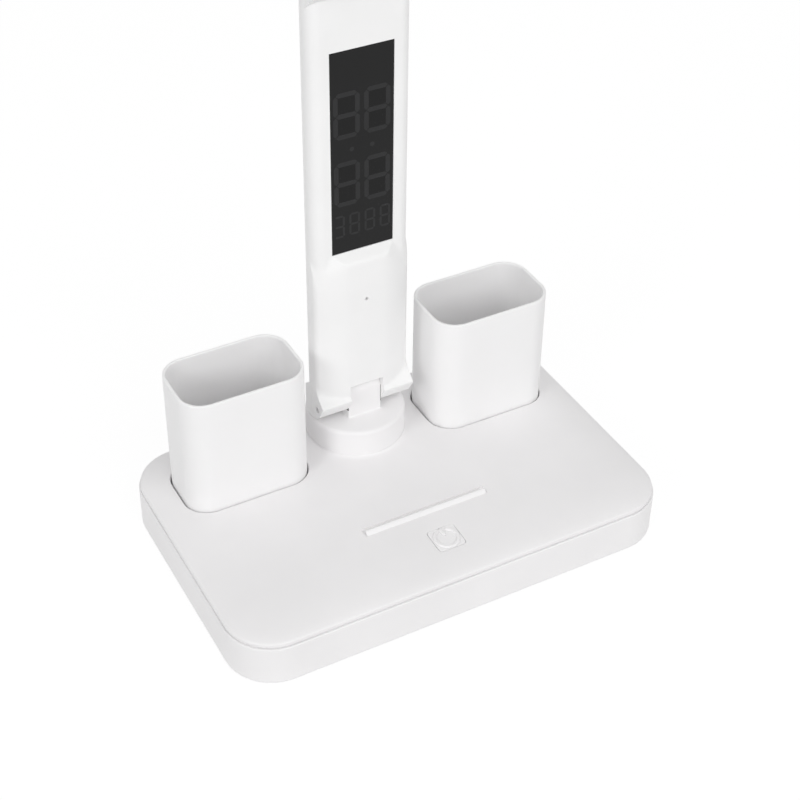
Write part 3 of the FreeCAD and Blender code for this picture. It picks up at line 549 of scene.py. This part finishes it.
key_loops = [stand(key_well(-key_gap), key_low[2])]
for down, inwards in quarter_round(key_round, 4):
    loop = key_well(-key_gap - inwards)
    key_loops.append(stand(loop, cover_height(loop) + key_proud - down))
key_edge = key_well(-key_gap - key_round)
fine_step = 0.12
fine_x = np.arange(-6.0, 6.01, fine_step)
fine = np.array(np.meshgrid(fine_x, fine_x)).reshape(2, -1).T * np.array([1.0, 0.98]) + key_centre[:2]
away = np.abs(fine - key_centre[:2])
fine = fine[np.hypot(*np.maximum(away - np.array([4.9, 4.7]), 0.0).T) < 1.15]
key = weld("touch_key_cap", [
    band(key_loops),
    fill([key_edge], apart(fine, [key_edge], fine_step), key_skin),
    fill([key_well(-key_gap)], [], level(key_low[2])),
], satin_key, sharp=60.0)
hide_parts("touch_key")
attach(key, "base")

# ---------------------------------------------------------------- pen cups
# Two loose thin-walled cups in white ABS, dropped into the wells. Walls are 1.5 mm, the rim is
# rolled over on both sides, and the floor runs into the walls through a fillet.
cup_wall, cup_floor, cup_rim, cup_foot, cup_fillet = 1.5, 2.0, 0.65, 1.5, 2.0
satin_cup = grained("satin_white_cup", (0.965, 0.957, 0.961), 0.44, 0.40, 0.007)


def let_light_in(material, weight, radius, depth_mm):
    """Light wanders under the surface: the weight of it, each colour's share of the depth, the depth."""
    shader = material.node_tree.nodes["Principled BSDF"]
    shader.inputs["Subsurface Weight"].default_value = weight
    shader.inputs["Subsurface Radius"].default_value = radius
    shader.inputs["Subsurface Scale"].default_value = depth_mm * 0.001


let_light_in(satin_cup, 0.5, (1.0, 1.0, 1.0), 1.5)


def cup_loop(side, inset, height):
    """A cup's outline, this far in from its outside, at a height."""
    width, depth = cup_size[:2] - 2 * inset
    corner = max(cup_corner - inset, 1.0)
    flat = outline(width, depth, corner, side * cup_centre[0], cup_centre[1], arc=14, along=10, across=6)
    return stand(flat, height)


for side, name in ((-1, "left_pen_cup"), (1, "right_pen_cup")):
    bottom, top = cup_low[2], cup_high[2]
    floor_z = bottom + cup_floor
    rows = [(out, bottom + up) for out, up in quarter_round(cup_foot)]
    rows += [(0.0, height) for height in np.linspace(bottom + 4.0, top - 3.0, 8)]
    rows += [(inwards, top - down) for down, inwards in quarter_round(cup_rim)]
    rows += [(cup_wall - out, top - down) for out, down in quarter_round(cup_rim)]
    rows += [(cup_wall, height) for height in np.linspace(top - 3.0, bottom + 6.0, 8)]
    rows += [(cup_wall + inwards, floor_z + up) for up, inwards in quarter_round(cup_fillet)]
    foot_loop = cup_loop(side, rows[0][0], bottom)[:, :2]
    floor_loop = cup_loop(side, rows[-1][0], 0.0)[:, :2]
    cup = weld(name + "_shell", [
        band([cup_loop(side, inset, height) for inset, height in rows]),
        fill([foot_loop], [], level(bottom)),
        fill([floor_loop], [], level(floor_z)),
    ], satin_cup)
    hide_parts(name)
    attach(cup, "left_cup" if side < 0 else "right_cup")

# ---------------------------------------------------------------- turntable
# A low white ABS drum whose hollow spigot turns in the cover on a glide ring. The hinge's tongue grows
# out of its top through a hollow fillet, and its end is rounded over from front to back.
drum_seat_z, drum_top_z, drum_rim = 26.8, 41.1, 1.8
drum_rows_z = (disc_low[2] + 5.1, 36.0, drum_top_z - drum_rim - 0.6)
spigot_radius, spigot_bore, bore_top_z = 9.0, 5.0, 32.0
axis_y, axis_z = 32.4, 50.0
tongue_end_z = 54.5
tongue_front, tongue_back, tongue_half = 30.4, 38.2, 8.22
tongue_middle, tongue_round = (tongue_back + tongue_front) / 2, (tongue_back - tongue_front) / 2
tongue_corner, tongue_blend, tongue_edge = 0.18, 0.8, 0.15


def tongue_loop(grow):
    """The tongue's outline, grown outwards."""
    width, depth = 2 * (tongue_half + grow), tongue_back - tongue_front + 2 * grow
    return outline(width, depth, tongue_corner + grow, 0.0, tongue_middle, arc=6, along=14, across=8)


def tongue_top(points):
    """Height of the tongue's end: half a circle from its front face to its back face."""
    return tongue_end_z + np.sqrt(np.maximum(tongue_round ** 2 - (points[:, 1] - tongue_middle) ** 2, 0.0))


drum = [stand(seat_loop(disc_radius), height) for height in (drum_seat_z,) + drum_rows_z]
for down, inwards in quarter_round(drum_rim):
    drum.append(stand(seat_loop(disc_radius - inwards), drum_top_z - down))
stalk = [stand(tongue_loop(out), drum_top_z + up) for out, up in quarter_round(tongue_blend)]
for share in (0.3, 0.6, 0.9):
    loop = tongue_loop(0.0)
    height = (drum_top_z + tongue_blend) * (1 - share) + (tongue_top(loop) - tongue_edge) * share
    stalk.append(stand(loop, height))
for down, inwards in quarter_round(tongue_edge):
    loop = tongue_loop(-inwards)
    stalk.append(stand(loop, tongue_top(loop) - down))
crest = tongue_loop(-tongue_edge)
crest_y = tongue_middle + (tongue_round - tongue_edge) * np.sin(np.linspace(-1.3, 1.3, 15))
crest_spots = np.array([(x, y) for x in np.linspace(-6.5, 6.5, 9) for y in crest_y])
turntable = weld("turntable_drum", [
    band(drum),
    fill([seat_loop(disc_radius - drum_rim), tongue_loop(tongue_blend)], [], level(drum_top_z)),
    band(stalk),
    fill([crest], crest_spots, lambda points: stand(points, tongue_top(points))),
    fill([seat_loop(disc_radius), seat_loop(spigot_radius)], [], level(drum_seat_z)),
    band([stand(seat_loop(spigot_radius), height) for height in (drum_seat_z, disc_low[2])]),
    fill([seat_loop(spigot_radius), seat_loop(spigot_bore)], [], level(disc_low[2])),
    band([stand(seat_loop(spigot_bore), height) for height in (disc_low[2], bore_top_z)]),
    fill([seat_loop(spigot_bore)], [], level(bore_top_z)),
], satin_white)
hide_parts("turntable")
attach(turntable, "turntable")

# ---------------------------------------------------------------- arm front shell
# The front half of the arm's tube in white ABS. Below the display it swells into a belly with a
# flat middle and sloping sides that ends in a ramp; its foot flares out to a lip and splits into
# two cheeks round the tongue, and two barrels at its top carry the light bar's hinge.
half_arm, seam_y = size_of("arm_front_shell")[1][:2]
arm_white = grained("satin_white_arm", (0.948, 0.947, 0.946), 0.44, 0.42, 0.008)
arm_front, arm_corner, arm_wall, arm_top_z = 31.8, 5.2, 1.8, 257.0
belly_depth, belly_flat, belly_half, belly_power = 3.8, 8.5, 21.0, 1.55
belly_edge, belly_ease, belly_top_z = 1.8, 1.0, 131.0
ramp_edge_z = (110.0, 117.5, 121.2, 124.3, 128.0, belly_top_z)
ramp_edge_x = (26.0, 20.9, 19.9, 18.5, 16.1, 14.6)
slot_half, slot_round, slot_roof_slope = 8.28, 8.9, 0.43
flare_pace, foot_z = 1.35, 64.0
window_half, window_low, window_high = 14.6, 131.3, 226.0
room_y, room_height, room_middle_z = 33.6, 187.0, 156.5
pinhole_z, pinhole_radius, pinhole_depth, pinhole_half = 106.9, 0.8, 2.4, 1.3
bar_axis_y, bar_axis_z = 29.4, 258.0
notch_half, notch_round = 10.95, 5.8
hinge_bore, bar_bore, bore_end_x = 1.6, 1.8, 22.0


def rolled(x, radius):
    """How far a quarter-round corner of this radius at the arm's side has turned back at x."""
    past = np.clip(x - half_arm + radius, 0.0, radius)
    return radius - np.sqrt(radius ** 2 - past ** 2)


def eased_lower(first, second, ease):
    """The lower of two heights, the corner between them rounded where they differ by less than ease."""
    near = np.maximum(ease - np.abs(first - second), 0.0) / ease
    return np.minimum(first, second) - near ** 2 * ease / 4


def front_line(x, z):
    """y of the arm's front. Above the belly: a flat with corners of 5.2 mm. On the belly: forward by
    3.8 (1 - s ** 1.55), s running from 0 at the edge of the flat to 1 near the side; its upper end
    and upper corners are ramps of 0.9 mm per millimetre from the edge, eased where they meet."""
    x = np.abs(x)
    plain = rolled(x, arm_corner)
    slope = (np.maximum(x - belly_flat, 0.0) / (belly_half - belly_flat)) ** belly_power
    belly = rolled(x, belly_edge) - belly_depth * (1.0 - slope)
    from_side = 0.64 * (np.interp(z, ramp_edge_z, ramp_edge_x) - x)
    ramp = -0.9 * np.minimum(belly_top_z - z, from_side)
    ease = belly_ease * np.clip((belly_top_z - z) / 2.0, 0.0, 1.0) + 1e-6
    swollen = eased_lower(plain, -eased_lower(-belly, -ramp, ease), ease)
    return arm_front + np.where(z < belly_top_z, swollen, plain)


def slot_roof(y):
    """Height of the slot's roof: behind the hinge axis a circle about it, in front a slope that rises."""
    behind = axis_z + np.sqrt(slot_round ** 2 - np.maximum(y - axis_y, 0.0) ** 2)
    return behind + slot_roof_slope * np.maximum(axis_y - y, 0.0)


# the front is one grid: columns crowd towards the rounded corner, levels towards the ramp
half_columns = np.concatenate([
    [pinhole_half, 3.5, 6.2, slot_half, 9.1, 9.8, 10.4, notch_half, 11.5, 12.1, 12.7, 13.35, 14.0],
    [window_half], np.linspace(15.2, 21.2, 11), [21.7, 22.1, 22.45, 22.7, 22.88, 23.0, 23.055, half_arm],
])
columns = np.concatenate([-half_columns[::-1], half_columns])
scoop_z = bar_axis_z - math.sqrt(notch_round ** 2 - (arm_front - bar_axis_y) ** 2)
levels = np.concatenate([
    [arm_top_z, 255.5, 254.0, scoop_z, 251.0, 244.0, 236.0, 229.0, window_high],
    np.linspace(window_high, window_low, 12)[1:],
    np.arange(belly_top_z, 110.9, -0.5),
    [109.8, pinhole_z + pinhole_half, pinhole_z - pinhole_half, 104.0, 100.0, 94.0, 88.0, 82.0],
    [76.0, 70.0, foot_z],
])
grid = np.array([[(x, front_line(x, z), z) for x in columns] for z in levels])
middle_columns = np.abs(columns) < slot_half + 0.01
# the foot's edge and underside as (y, z): a small round, a slope inwards and a flatter one to the seam
lip = [(26.9, 54.3), (26.66, 53.98), (26.6, 53.6), (26.68, 53.2), (26.9, 52.8), (28.6, 49.9),
       (30.15, 47.2), (30.45, 46.75), (30.85, 46.35), (33.6, 43.9), (34.1, 43.58), (34.8, 43.42),
       (37.6, 42.8), (seam_y, 42.76)]
side_y = grid[-1, :, 1]
flare_z = lip[0][1] + flare_pace * (side_y - lip[0][0])
slot_z = slot_roof(side_y[len(half_columns)])
slot_share = (slot_z - flare_z[len(half_columns)]) / (foot_z - flare_z[len(half_columns)])
meet_z = np.where(middle_columns, slot_z, flare_z + slot_share * (foot_z - flare_z))
lower = [foot_z * (1 - share) + meet_z * share for share in (0.25, 0.5, 0.75, 1.0)]
lower += [meet_z * (1 - share) + flare_z * share for share in (0.33, 0.66, 1.0)]
grid_low = np.array([np.column_stack([columns, side_y, heights]) for heights in lower])
flare = [
    np.column_stack([columns, side_y * (1 - share ** 2) + lip[0][0] * share ** 2,
                     flare_z * (1 - share) + lip[0][1] * share])
    for share in (0.2, 0.4, 0.6, 0.75, 0.9)
]
under = [np.column_stack([columns, np.full(len(columns), y), np.full(len(columns), z)]) for y, z in lip]
grid = np.concatenate([grid, grid_low, np.array(flare), np.array(under)])
meet_row = len(levels) + 3
scoop_row = 3
cell_x = np.abs(columns[1:] + columns[:-1])[None, :] / 2
cell_z = (grid[1:, 0, 2] + grid[:-1, 0, 2])[:, None] / 2
cell_row = np.arange(len(grid) - 1)[:, None]
upper = cell_row < len(levels) - 1
in_slot = (cell_x < slot_half) & (cell_row >= meet_row)
in_notch = (cell_x < notch_half) & (cell_row < scoop_row)
in_window = upper & (cell_x < window_half) & (cell_z > window_low) & (cell_z < window_high)
in_pinhole = upper & (cell_x < pinhole_half) & (np.abs(cell_z - pinhole_z) < pinhole_half)
shell = [sheet(grid, ~(in_slot | in_notch | in_window | in_pinhole))]

# pinhole of the alarm sounder: a round blind hole in the square left open for it
hole_corners = np.array([(-1, -1), (1, -1), (1, 1), (-1, 1)])
hole_frame = hole_corners * pinhole_half + np.array([0.0, pinhole_z])
hole_ring = circle(pinhole_radius, 0.0, pinhole_z, 24)


def facing(y):
    """Lift for a fill in a plane that faces the front, its points given as (x, z)."""
    return lambda points: np.column_stack([points[:, 0], np.broadcast_to(y, len(points)), points[:, 1]])


def sideways(x):
    """Lift for a fill in a plane that faces a side, its points given as (y, z)."""
    return lambda points: np.column_stack([np.full(len(points), x), points])


belly_y = arm_front - belly_depth
shell.append(fill([hole_frame, hole_ring], [], facing(belly_y)))
shell.append(band([facing(belly_y)(hole_ring), facing(belly_y + pinhole_depth)(hole_ring)]))
shell.append(fill([hole_ring], [], facing(belly_y + pinhole_depth)))

# window walls, and behind them the arm's room, closed by the seam face
window_columns = np.nonzero(np.abs(columns) < window_half + 0.01)[0]
window_rows = [row for row in range(len(levels)) if window_low - 0.01 < levels[row] < window_high + 0.01]
window_loop = [(columns[place], levels[window_rows[-1]]) for place in window_columns]
window_loop += [(window_half, levels[row]) for row in window_rows[::-1][1:]]
window_loop += [(columns[place], levels[window_rows[0]]) for place in window_columns[::-1][1:]]
window_loop = np.array(window_loop + [(-window_half, levels[row]) for row in window_rows[1:-1]])
room_width = 2 * (half_arm - arm_wall)
room_loop = outline(room_width, room_height, 2.0, 0.0, room_middle_z, arc=3, along=2, across=6)
shell.append(band([facing(arm_front)(window_loop), facing(room_y)(window_loop)]))
shell.append(fill([room_loop, window_loop], [], facing(room_y)))
shell.append(band([facing(room_y)(room_loop), facing(seam_y)(room_loop)]))

# the slot's arch over the tongue, and the notch for the light bar's knuckle
slot_places = np.nonzero(middle_columns)[0]
arch = []
for share in np.linspace(0.0, 1.0, 13):
    row = grid[meet_row, slot_places].copy()
    row[:, 1] = row[:, 1] * (1 - share) + seam_y * share
    row[:, 2] = slot_roof(row[:, 1])
    arch.append(row)
arch = np.array(arch)
notch_places = np.nonzero(np.abs(columns) < notch_half + 0.01)[0]
notch_end_y = bar_axis_y + math.sqrt(notch_round ** 2 - (arm_top_z - bar_axis_z) ** 2)
scoop = []
for y in np.linspace(arm_front, notch_end_y, 9):
    row = grid[scoop_row, notch_places].copy()
    row[:, 1] = y
    row[:, 2] = bar_axis_z - np.sqrt(notch_round ** 2 - (y - bar_axis_y) ** 2)
    scoop.append(row)
scoop = np.array(scoop)
shell += [sheet(arch), sheet(scoop)]

# sides, top and seam face, each an outline taken from the grid's own edge points
for side, place, inner, notch in ((-1, 0, slot_places[0], notch_places[0]),
                                  (1, -1, slot_places[-1], notch_places[-1])):
    flank = np.vstack([grid[:, place, 1:], [(seam_y, arm_top_z)]])
    bore_ring = circle(hinge_bore, axis_y, axis_z, 32)
    shell.append(fill([flank, bore_ring], [], sideways(side * half_arm)))
    shell.append(band([sideways(side * half_arm)(bore_ring), sideways(side * bore_end_x)(bore_ring)]))
    shell.append(fill([bore_ring], [], sideways(side * bore_end_x)))
    edge = 0 if side < 0 else -1
    cheek = np.vstack([grid[meet_row:, inner, 1:], arch[::-1, edge, 1:][:-1]])
    shell.append(fill([cheek], [], sideways(side * slot_half)))
    jamb = np.vstack([grid[:scoop_row + 1, notch, 1:], scoop[1:, edge, 1:]])
    shell.append(fill([jamb], [], sideways(side * notch_half)))
left_top = grid[0, :notch_places[0] + 1, :2]
right_top = grid[0, notch_places[-1]:, :2]
top_loop = np.vstack([[(-half_arm, seam_y)], left_top, scoop[-1][:, :2], right_top, [(half_arm, seam_y)]])
shell.append(fill([top_loop], [], level(arm_top_z)))
foot_left = grid[-1, :slot_places[0] + 1][:, [0, 2]]
foot_right = grid[-1, slot_places[-1]:][:, [0, 2]]
seam_top = [(half_arm, arm_top_z), (-half_arm, arm_top_z)]
seam_loop = np.vstack([foot_left, arch[-1][:, [0, 2]], foot_right, seam_top])
shell.append(fill([seam_loop, room_loop], [], facing(seam_y)))

# barrels: round ears standing forward of the top corners, each braced by a sloping web
barrel_radius = 5.4
barrel_turn = np.radians(np.linspace(240.5, 0.0, 41))
barrel = np.column_stack([bar_axis_y + barrel_radius * np.cos(barrel_turn),
                          bar_axis_z + barrel_radius * np.sin(barrel_turn)])
barrel = np.vstack([[(34.8, 246.0), (arm_front, 249.0)], barrel])
pin_ring = circle(bar_bore, bar_axis_y, bar_axis_z, 32)
for side in (-1, 1):
    outer_x, inner_x, pin_x = side * (half_arm - 0.02), side * notch_half, side * bore_end_x
    shell.append(band([sideways(inner_x)(barrel), sideways(outer_x)(barrel)]))
    shell.append(fill([barrel], [], sideways(inner_x)))
    shell.append(fill([barrel, pin_ring], [], sideways(outer_x)))
    shell.append(band([sideways(outer_x)(pin_ring), sideways(pin_x)(pin_ring)]))
    shell.append(fill([pin_ring], [], sideways(pin_x)))
arm_shell = weld("arm_front_skin", shell, arm_white, sharp=32.0)
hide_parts("arm_front_shell")
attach(arm_shell, "arm")

# ---------------------------------------------------------------- arm back shell
# The back half of the tube, plain white ABS with square cheeks at its foot. Four screws draw it on to
# the front shell; their heads sit in shallow wells.
dress(arm_white, "arm_back_shell")

# ---------------------------------------------------------------- display
# A smoked acrylic window glued over the clock. The unlit segments of two rows of big digits, two dots
# and a row of small digits show grey on its face, each big digit on a slightly darker ground.
lens_face = size_of("display_lens")[0][1]
smoked = grained("smoked_acrylic", (0.0085, 0.0085, 0.0087), 0.10, 2.0, 0.0006, mottle=0.05, specular=0.22)
segment_grey = grained("segment_grey", (0.0270, 0.0270, 0.0280), 0.16, 1.2, 0.001, mottle=0.06,
                       specular=0.18)
digit_ground = grained("digit_ground", (0.0062, 0.0062, 0.0064), 0.12, 2.0, 0.0006, mottle=0.05,
                       specular=0.20)
dress(smoked, "display_lens")
big_half_width, big_half_height, big_stroke = 4.98, 9.55, 2.1
small_half_width, small_half_height, small_stroke = 2.05, 5.0, 1.0
big_x, big_rows_z, dot_x, dot_z, dot_radius = 7.02, (164.95, 196.9), 4.7, 180.8, 1.05
small_pitch, small_z = 7.2, 144.6


def bar_outline(start, end, stroke):
    """Eight corners of a segment from start to end (x, z): a bar with both ends cut to a blunt point."""
    start, end = np.array(start), np.array(end)
    along = (end - start) / np.hypot(*(end - start))
    across = np.array([-along[1], along[0]]) * stroke / 2
    tip, shoulder = 0.16 * stroke, 0.62 * stroke
    first, last = start + along * tip, end - along * tip
    near, far = start + along * shoulder, end - along * shoulder
    blunt = 0.16
    return np.array([first - across * blunt, near - across, far - across, last - across * blunt,
                     last + across * blunt, far + across, near + across, first + across * blunt])


def digit(x, z, half_width, half_height, stroke, left_out=()):
    """Outlines of a figure eight's seven segments about (x, z), without the ones left out."""
    left, right, top, bottom = x - half_width, x + half_width, z + half_height, z - half_height
    ends = {
        "top": ((left, top), (right, top)),
        "upper_left": ((left, z), (left, top)),
        "upper_right": ((right, z), (right, top)),
        "middle": ((left, z), (right, z)),
        "lower_left": ((left, bottom), (left, z)),
        "lower_right": ((right, bottom), (right, z)),
        "bottom": ((left, bottom), (right, bottom)),
    }
    return [bar_outline(*ends[name], stroke) for name in ends if name not in left_out]


def slabs(outlines, y_front, y_back):
    """Each flat outline as a closed thin slab facing the front."""
    blocks = []
    for corners in outlines:
        blocks.append(band([facing(y_front)(corners), facing(y_back)(corners)]))
        blocks.append(fill([corners], [], facing(y_front)))
        blocks.append(fill([corners], [], facing(y_back)))
    return blocks


segments, grounds = [], []
ground_width = 2 * big_half_width - big_stroke - 0.3
ground_height = big_half_height - big_stroke - 0.2
for z in big_rows_z:
    for x in (-big_x, big_x):
        segments += digit(x, z, big_half_width, big_half_height, big_stroke)
        for half in (-1, 1):
            middle = (x, z + half * big_half_height / 2)
            grounds.append(outline(ground_width, ground_height, 0.3, *middle, arc=2, along=1, across=1))
for place, left_out in ((-1.5, ("upper_left", "lower_left")), (-0.5, ()), (0.5, ()), (1.5, ())):
    x = place * small_pitch
    segments += digit(x, small_z, small_half_width, small_half_height, small_stroke, left_out)
for side in (-1, 1):
    segments.append(circle(dot_radius, side * dot_x, dot_z, 20))
segment_slabs = slabs(segments, lens_face - 0.02, lens_face + 0.05)
ground_slabs = slabs(grounds, lens_face - 0.01, lens_face + 0.05)
display_print = weld("display_segments", segment_slabs, segment_grey)
display_ground = weld("display_digit_grounds", ground_slabs, digit_ground)
for piece in (display_print, display_ground):
    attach(piece, "arm")

# ---------------------------------------------------------------- clock keys
# Three round keys of white ABS in holes in the arm's back, each with a raised sign on its cap: a clock
# face for the mode key, arrow heads for the other two. A switch behind each one springs it back.
sign_grey = grained("sign_grey", (0.34, 0.34, 0.345), 0.5, 0.4, 0.004)
for name, pointing in (("mode_button", 0), ("up_button", 1), ("down_button", -1)):
    dress(satin_key, name)
    button_low, button_high = size_of(name)
    x = (button_low[0] + button_high[0]) / 2
    z = (button_low[2] + button_high[2]) / 2
    if pointing:
        arrow = np.array([(-1.2, -0.6), (0.0, 0.8), (1.2, -0.6), (0.8, -0.9), (0.0, 0.1), (-0.8, -0.9)])
        shape = [arrow * np.array([1, pointing]) + np.array([x, z])]
    else:
        shape = [outline(0.35, 1.4, 0.12, x, z + 0.6, arc=2, along=1, across=1),
                 outline(1.1, 0.35, 0.12, x - 0.4, z - 0.05, arc=2, along=1, across=1)]
    sign = weld(name + "_sign", slabs(shape, button_high[1] - 0.05, button_high[1] + 0.03), sign_grey)
    if not pointing:
        face_ring = []
        for radius, y in ((1.5, 0.0), (1.5, 0.04), (1.8, 0.04), (1.8, 0.0)):
            face_ring.append(facing(button_high[1] + y - 0.01)(circle(radius, x, z, 32)))
        face_ring.append(face_ring[0])
        clock_ring = weld("mode_button_ring", [band(face_ring)], sign_grey)
        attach(clock_ring, name)
    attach(sign, name)

# ---------------------------------------------------------------- light bar
# Two thin white shells with an opal window. Behind it an edge-lit acrylic guide, its white backing
# sheet and two rows of LEDs; the bar turns on a steel pin held by the arm's barrels.
opal = grained("opal_diffuser", (0.930, 0.925, 0.905), 0.55, 0.8, 0.004, mottle=0.008)
let_light_in(opal, 0.25, (1.0, 1.0, 0.9), 1.0)
dress(arm_white, "light_bar_frame", "light_bar_back")
dress(opal, "diffuser")
acrylic = grained("guide_acrylic", (0.90, 0.93, 0.94), 0.12, 1.5, 0.003, mottle=0.01)
acrylic.node_tree.nodes["Principled BSDF"].inputs["Transmission Weight"].default_value = 0.8
white_film = grained("reflector_film", (0.93, 0.93, 0.93), 0.35, 0.3, 0.002, mottle=0.006)
white_mask = grained("white_solder_mask", (0.86, 0.86, 0.83), 0.35, 0.6, 0.004)
dress(acrylic, "light_guide")
dress(white_film, "reflector_sheet")
dress(white_mask, "led_strips")

# ---------------------------------------------------------------- metal parts
# Zinc-plated screws, hinge pins, the swivel's retainer, the ballast plate and the socket's shell;
# the touch spring is bright steel wire.


def plated(name, colour, roughness, streak_mm):
    """Metal with fine drawn streaks along X: noise squeezed across them drives gloss and height."""
    material = bpy.data.materials.new(name)
    material.use_nodes = True
    tree = material.node_tree
    shader = tree.nodes["Principled BSDF"]
    place = add_node(tree, "TexCoord")
    squeeze = add_node(tree, "Mapping", Scale=(40.0 / streak_mm, 1000.0 / streak_mm, 1000.0 / streak_mm))
    streaks = add_node(tree, "TexNoise", Scale=1.0, Detail=4.0)
    gloss = add_node(tree, "MapRange", To_Min=roughness - 0.08, To_Max=roughness + 0.10)
    tint = add_node(tree, "ValToRGB")
    tint.color_ramp.elements[0].color = (colour[0] * 0.85, colour[1] * 0.85, colour[2] * 0.85, 1.0)
    tint.color_ramp.elements[1].color = (colour[0], colour[1], colour[2], 1.0)
    bump = add_node(tree, "Bump", Strength=0.3, Distance=0.00001)
    tree.links.new(place.outputs["Object"], squeeze.inputs["Vector"])
    tree.links.new(squeeze.outputs["Vector"], streaks.inputs["Vector"])
    tree.links.new(streaks.outputs["Fac"], gloss.inputs["Value"])
    tree.links.new(streaks.outputs["Fac"], tint.inputs["Fac"])
    tree.links.new(streaks.outputs["Fac"], bump.inputs["Height"])
    tree.links.new(gloss.outputs["Result"], shader.inputs["Roughness"])
    tree.links.new(tint.outputs["Color"], shader.inputs["Base Color"])
    tree.links.new(bump.outputs["Normal"], shader.inputs["Normal"])
    shader.inputs["Metallic"].default_value = 1.0
    return material


zinc = plated("zinc_plated_steel", (0.62, 0.62, 0.63), 0.34, 0.5)
sheet_steel = plated("zinc_sheet", (0.55, 0.56, 0.58), 0.42, 0.8)
spring_wire = plated("spring_steel", (0.75, 0.75, 0.76), 0.18, 0.3)
dress(zinc, "base_screws", "arm_screws", "light_bar_screws", "swivel_retainer_screws", "usb_socket")
dress(zinc, "lower_hinge_pin", "upper_hinge_pin")
dress(sheet_steel, "base_weight", "swivel_retainer")
dress(spring_wire, "touch_spring")

# ---------------------------------------------------------------- pad, washers and inner parts
# Grey rubber pad under the tray; black nylon washers and glide ring; and the parts shut inside: the
# cell in its wrap and cradle, green circuit boards, sounder, switches and display module.
pad_rubber = grained("grey_rubber", (0.24, 0.24, 0.245), 0.78, 0.8, 0.05, mottle=0.06)
nylon = grained("black_nylon", (0.022, 0.022, 0.023), 0.48, 0.6, 0.008, mottle=0.10)
solder_mask = grained("green_solder_mask", (0.020, 0.150, 0.060), 0.35, 0.8, 0.006, mottle=0.10)
cell_wrap = grained("cell_wrap", (0.050, 0.160, 0.380), 0.30, 1.5, 0.004, mottle=0.05)
dress(pad_rubber, "non_slip_pad")
dress(nylon, "lower_hinge_washers", "swivel_glide_ring", "battery_holder", "display_module")
dress(nylon, "alarm_sounder", "key_switches")
dress(solder_mask, "control_board", "charging_board", "clock_board")
dress(cell_wrap, "battery_cell")
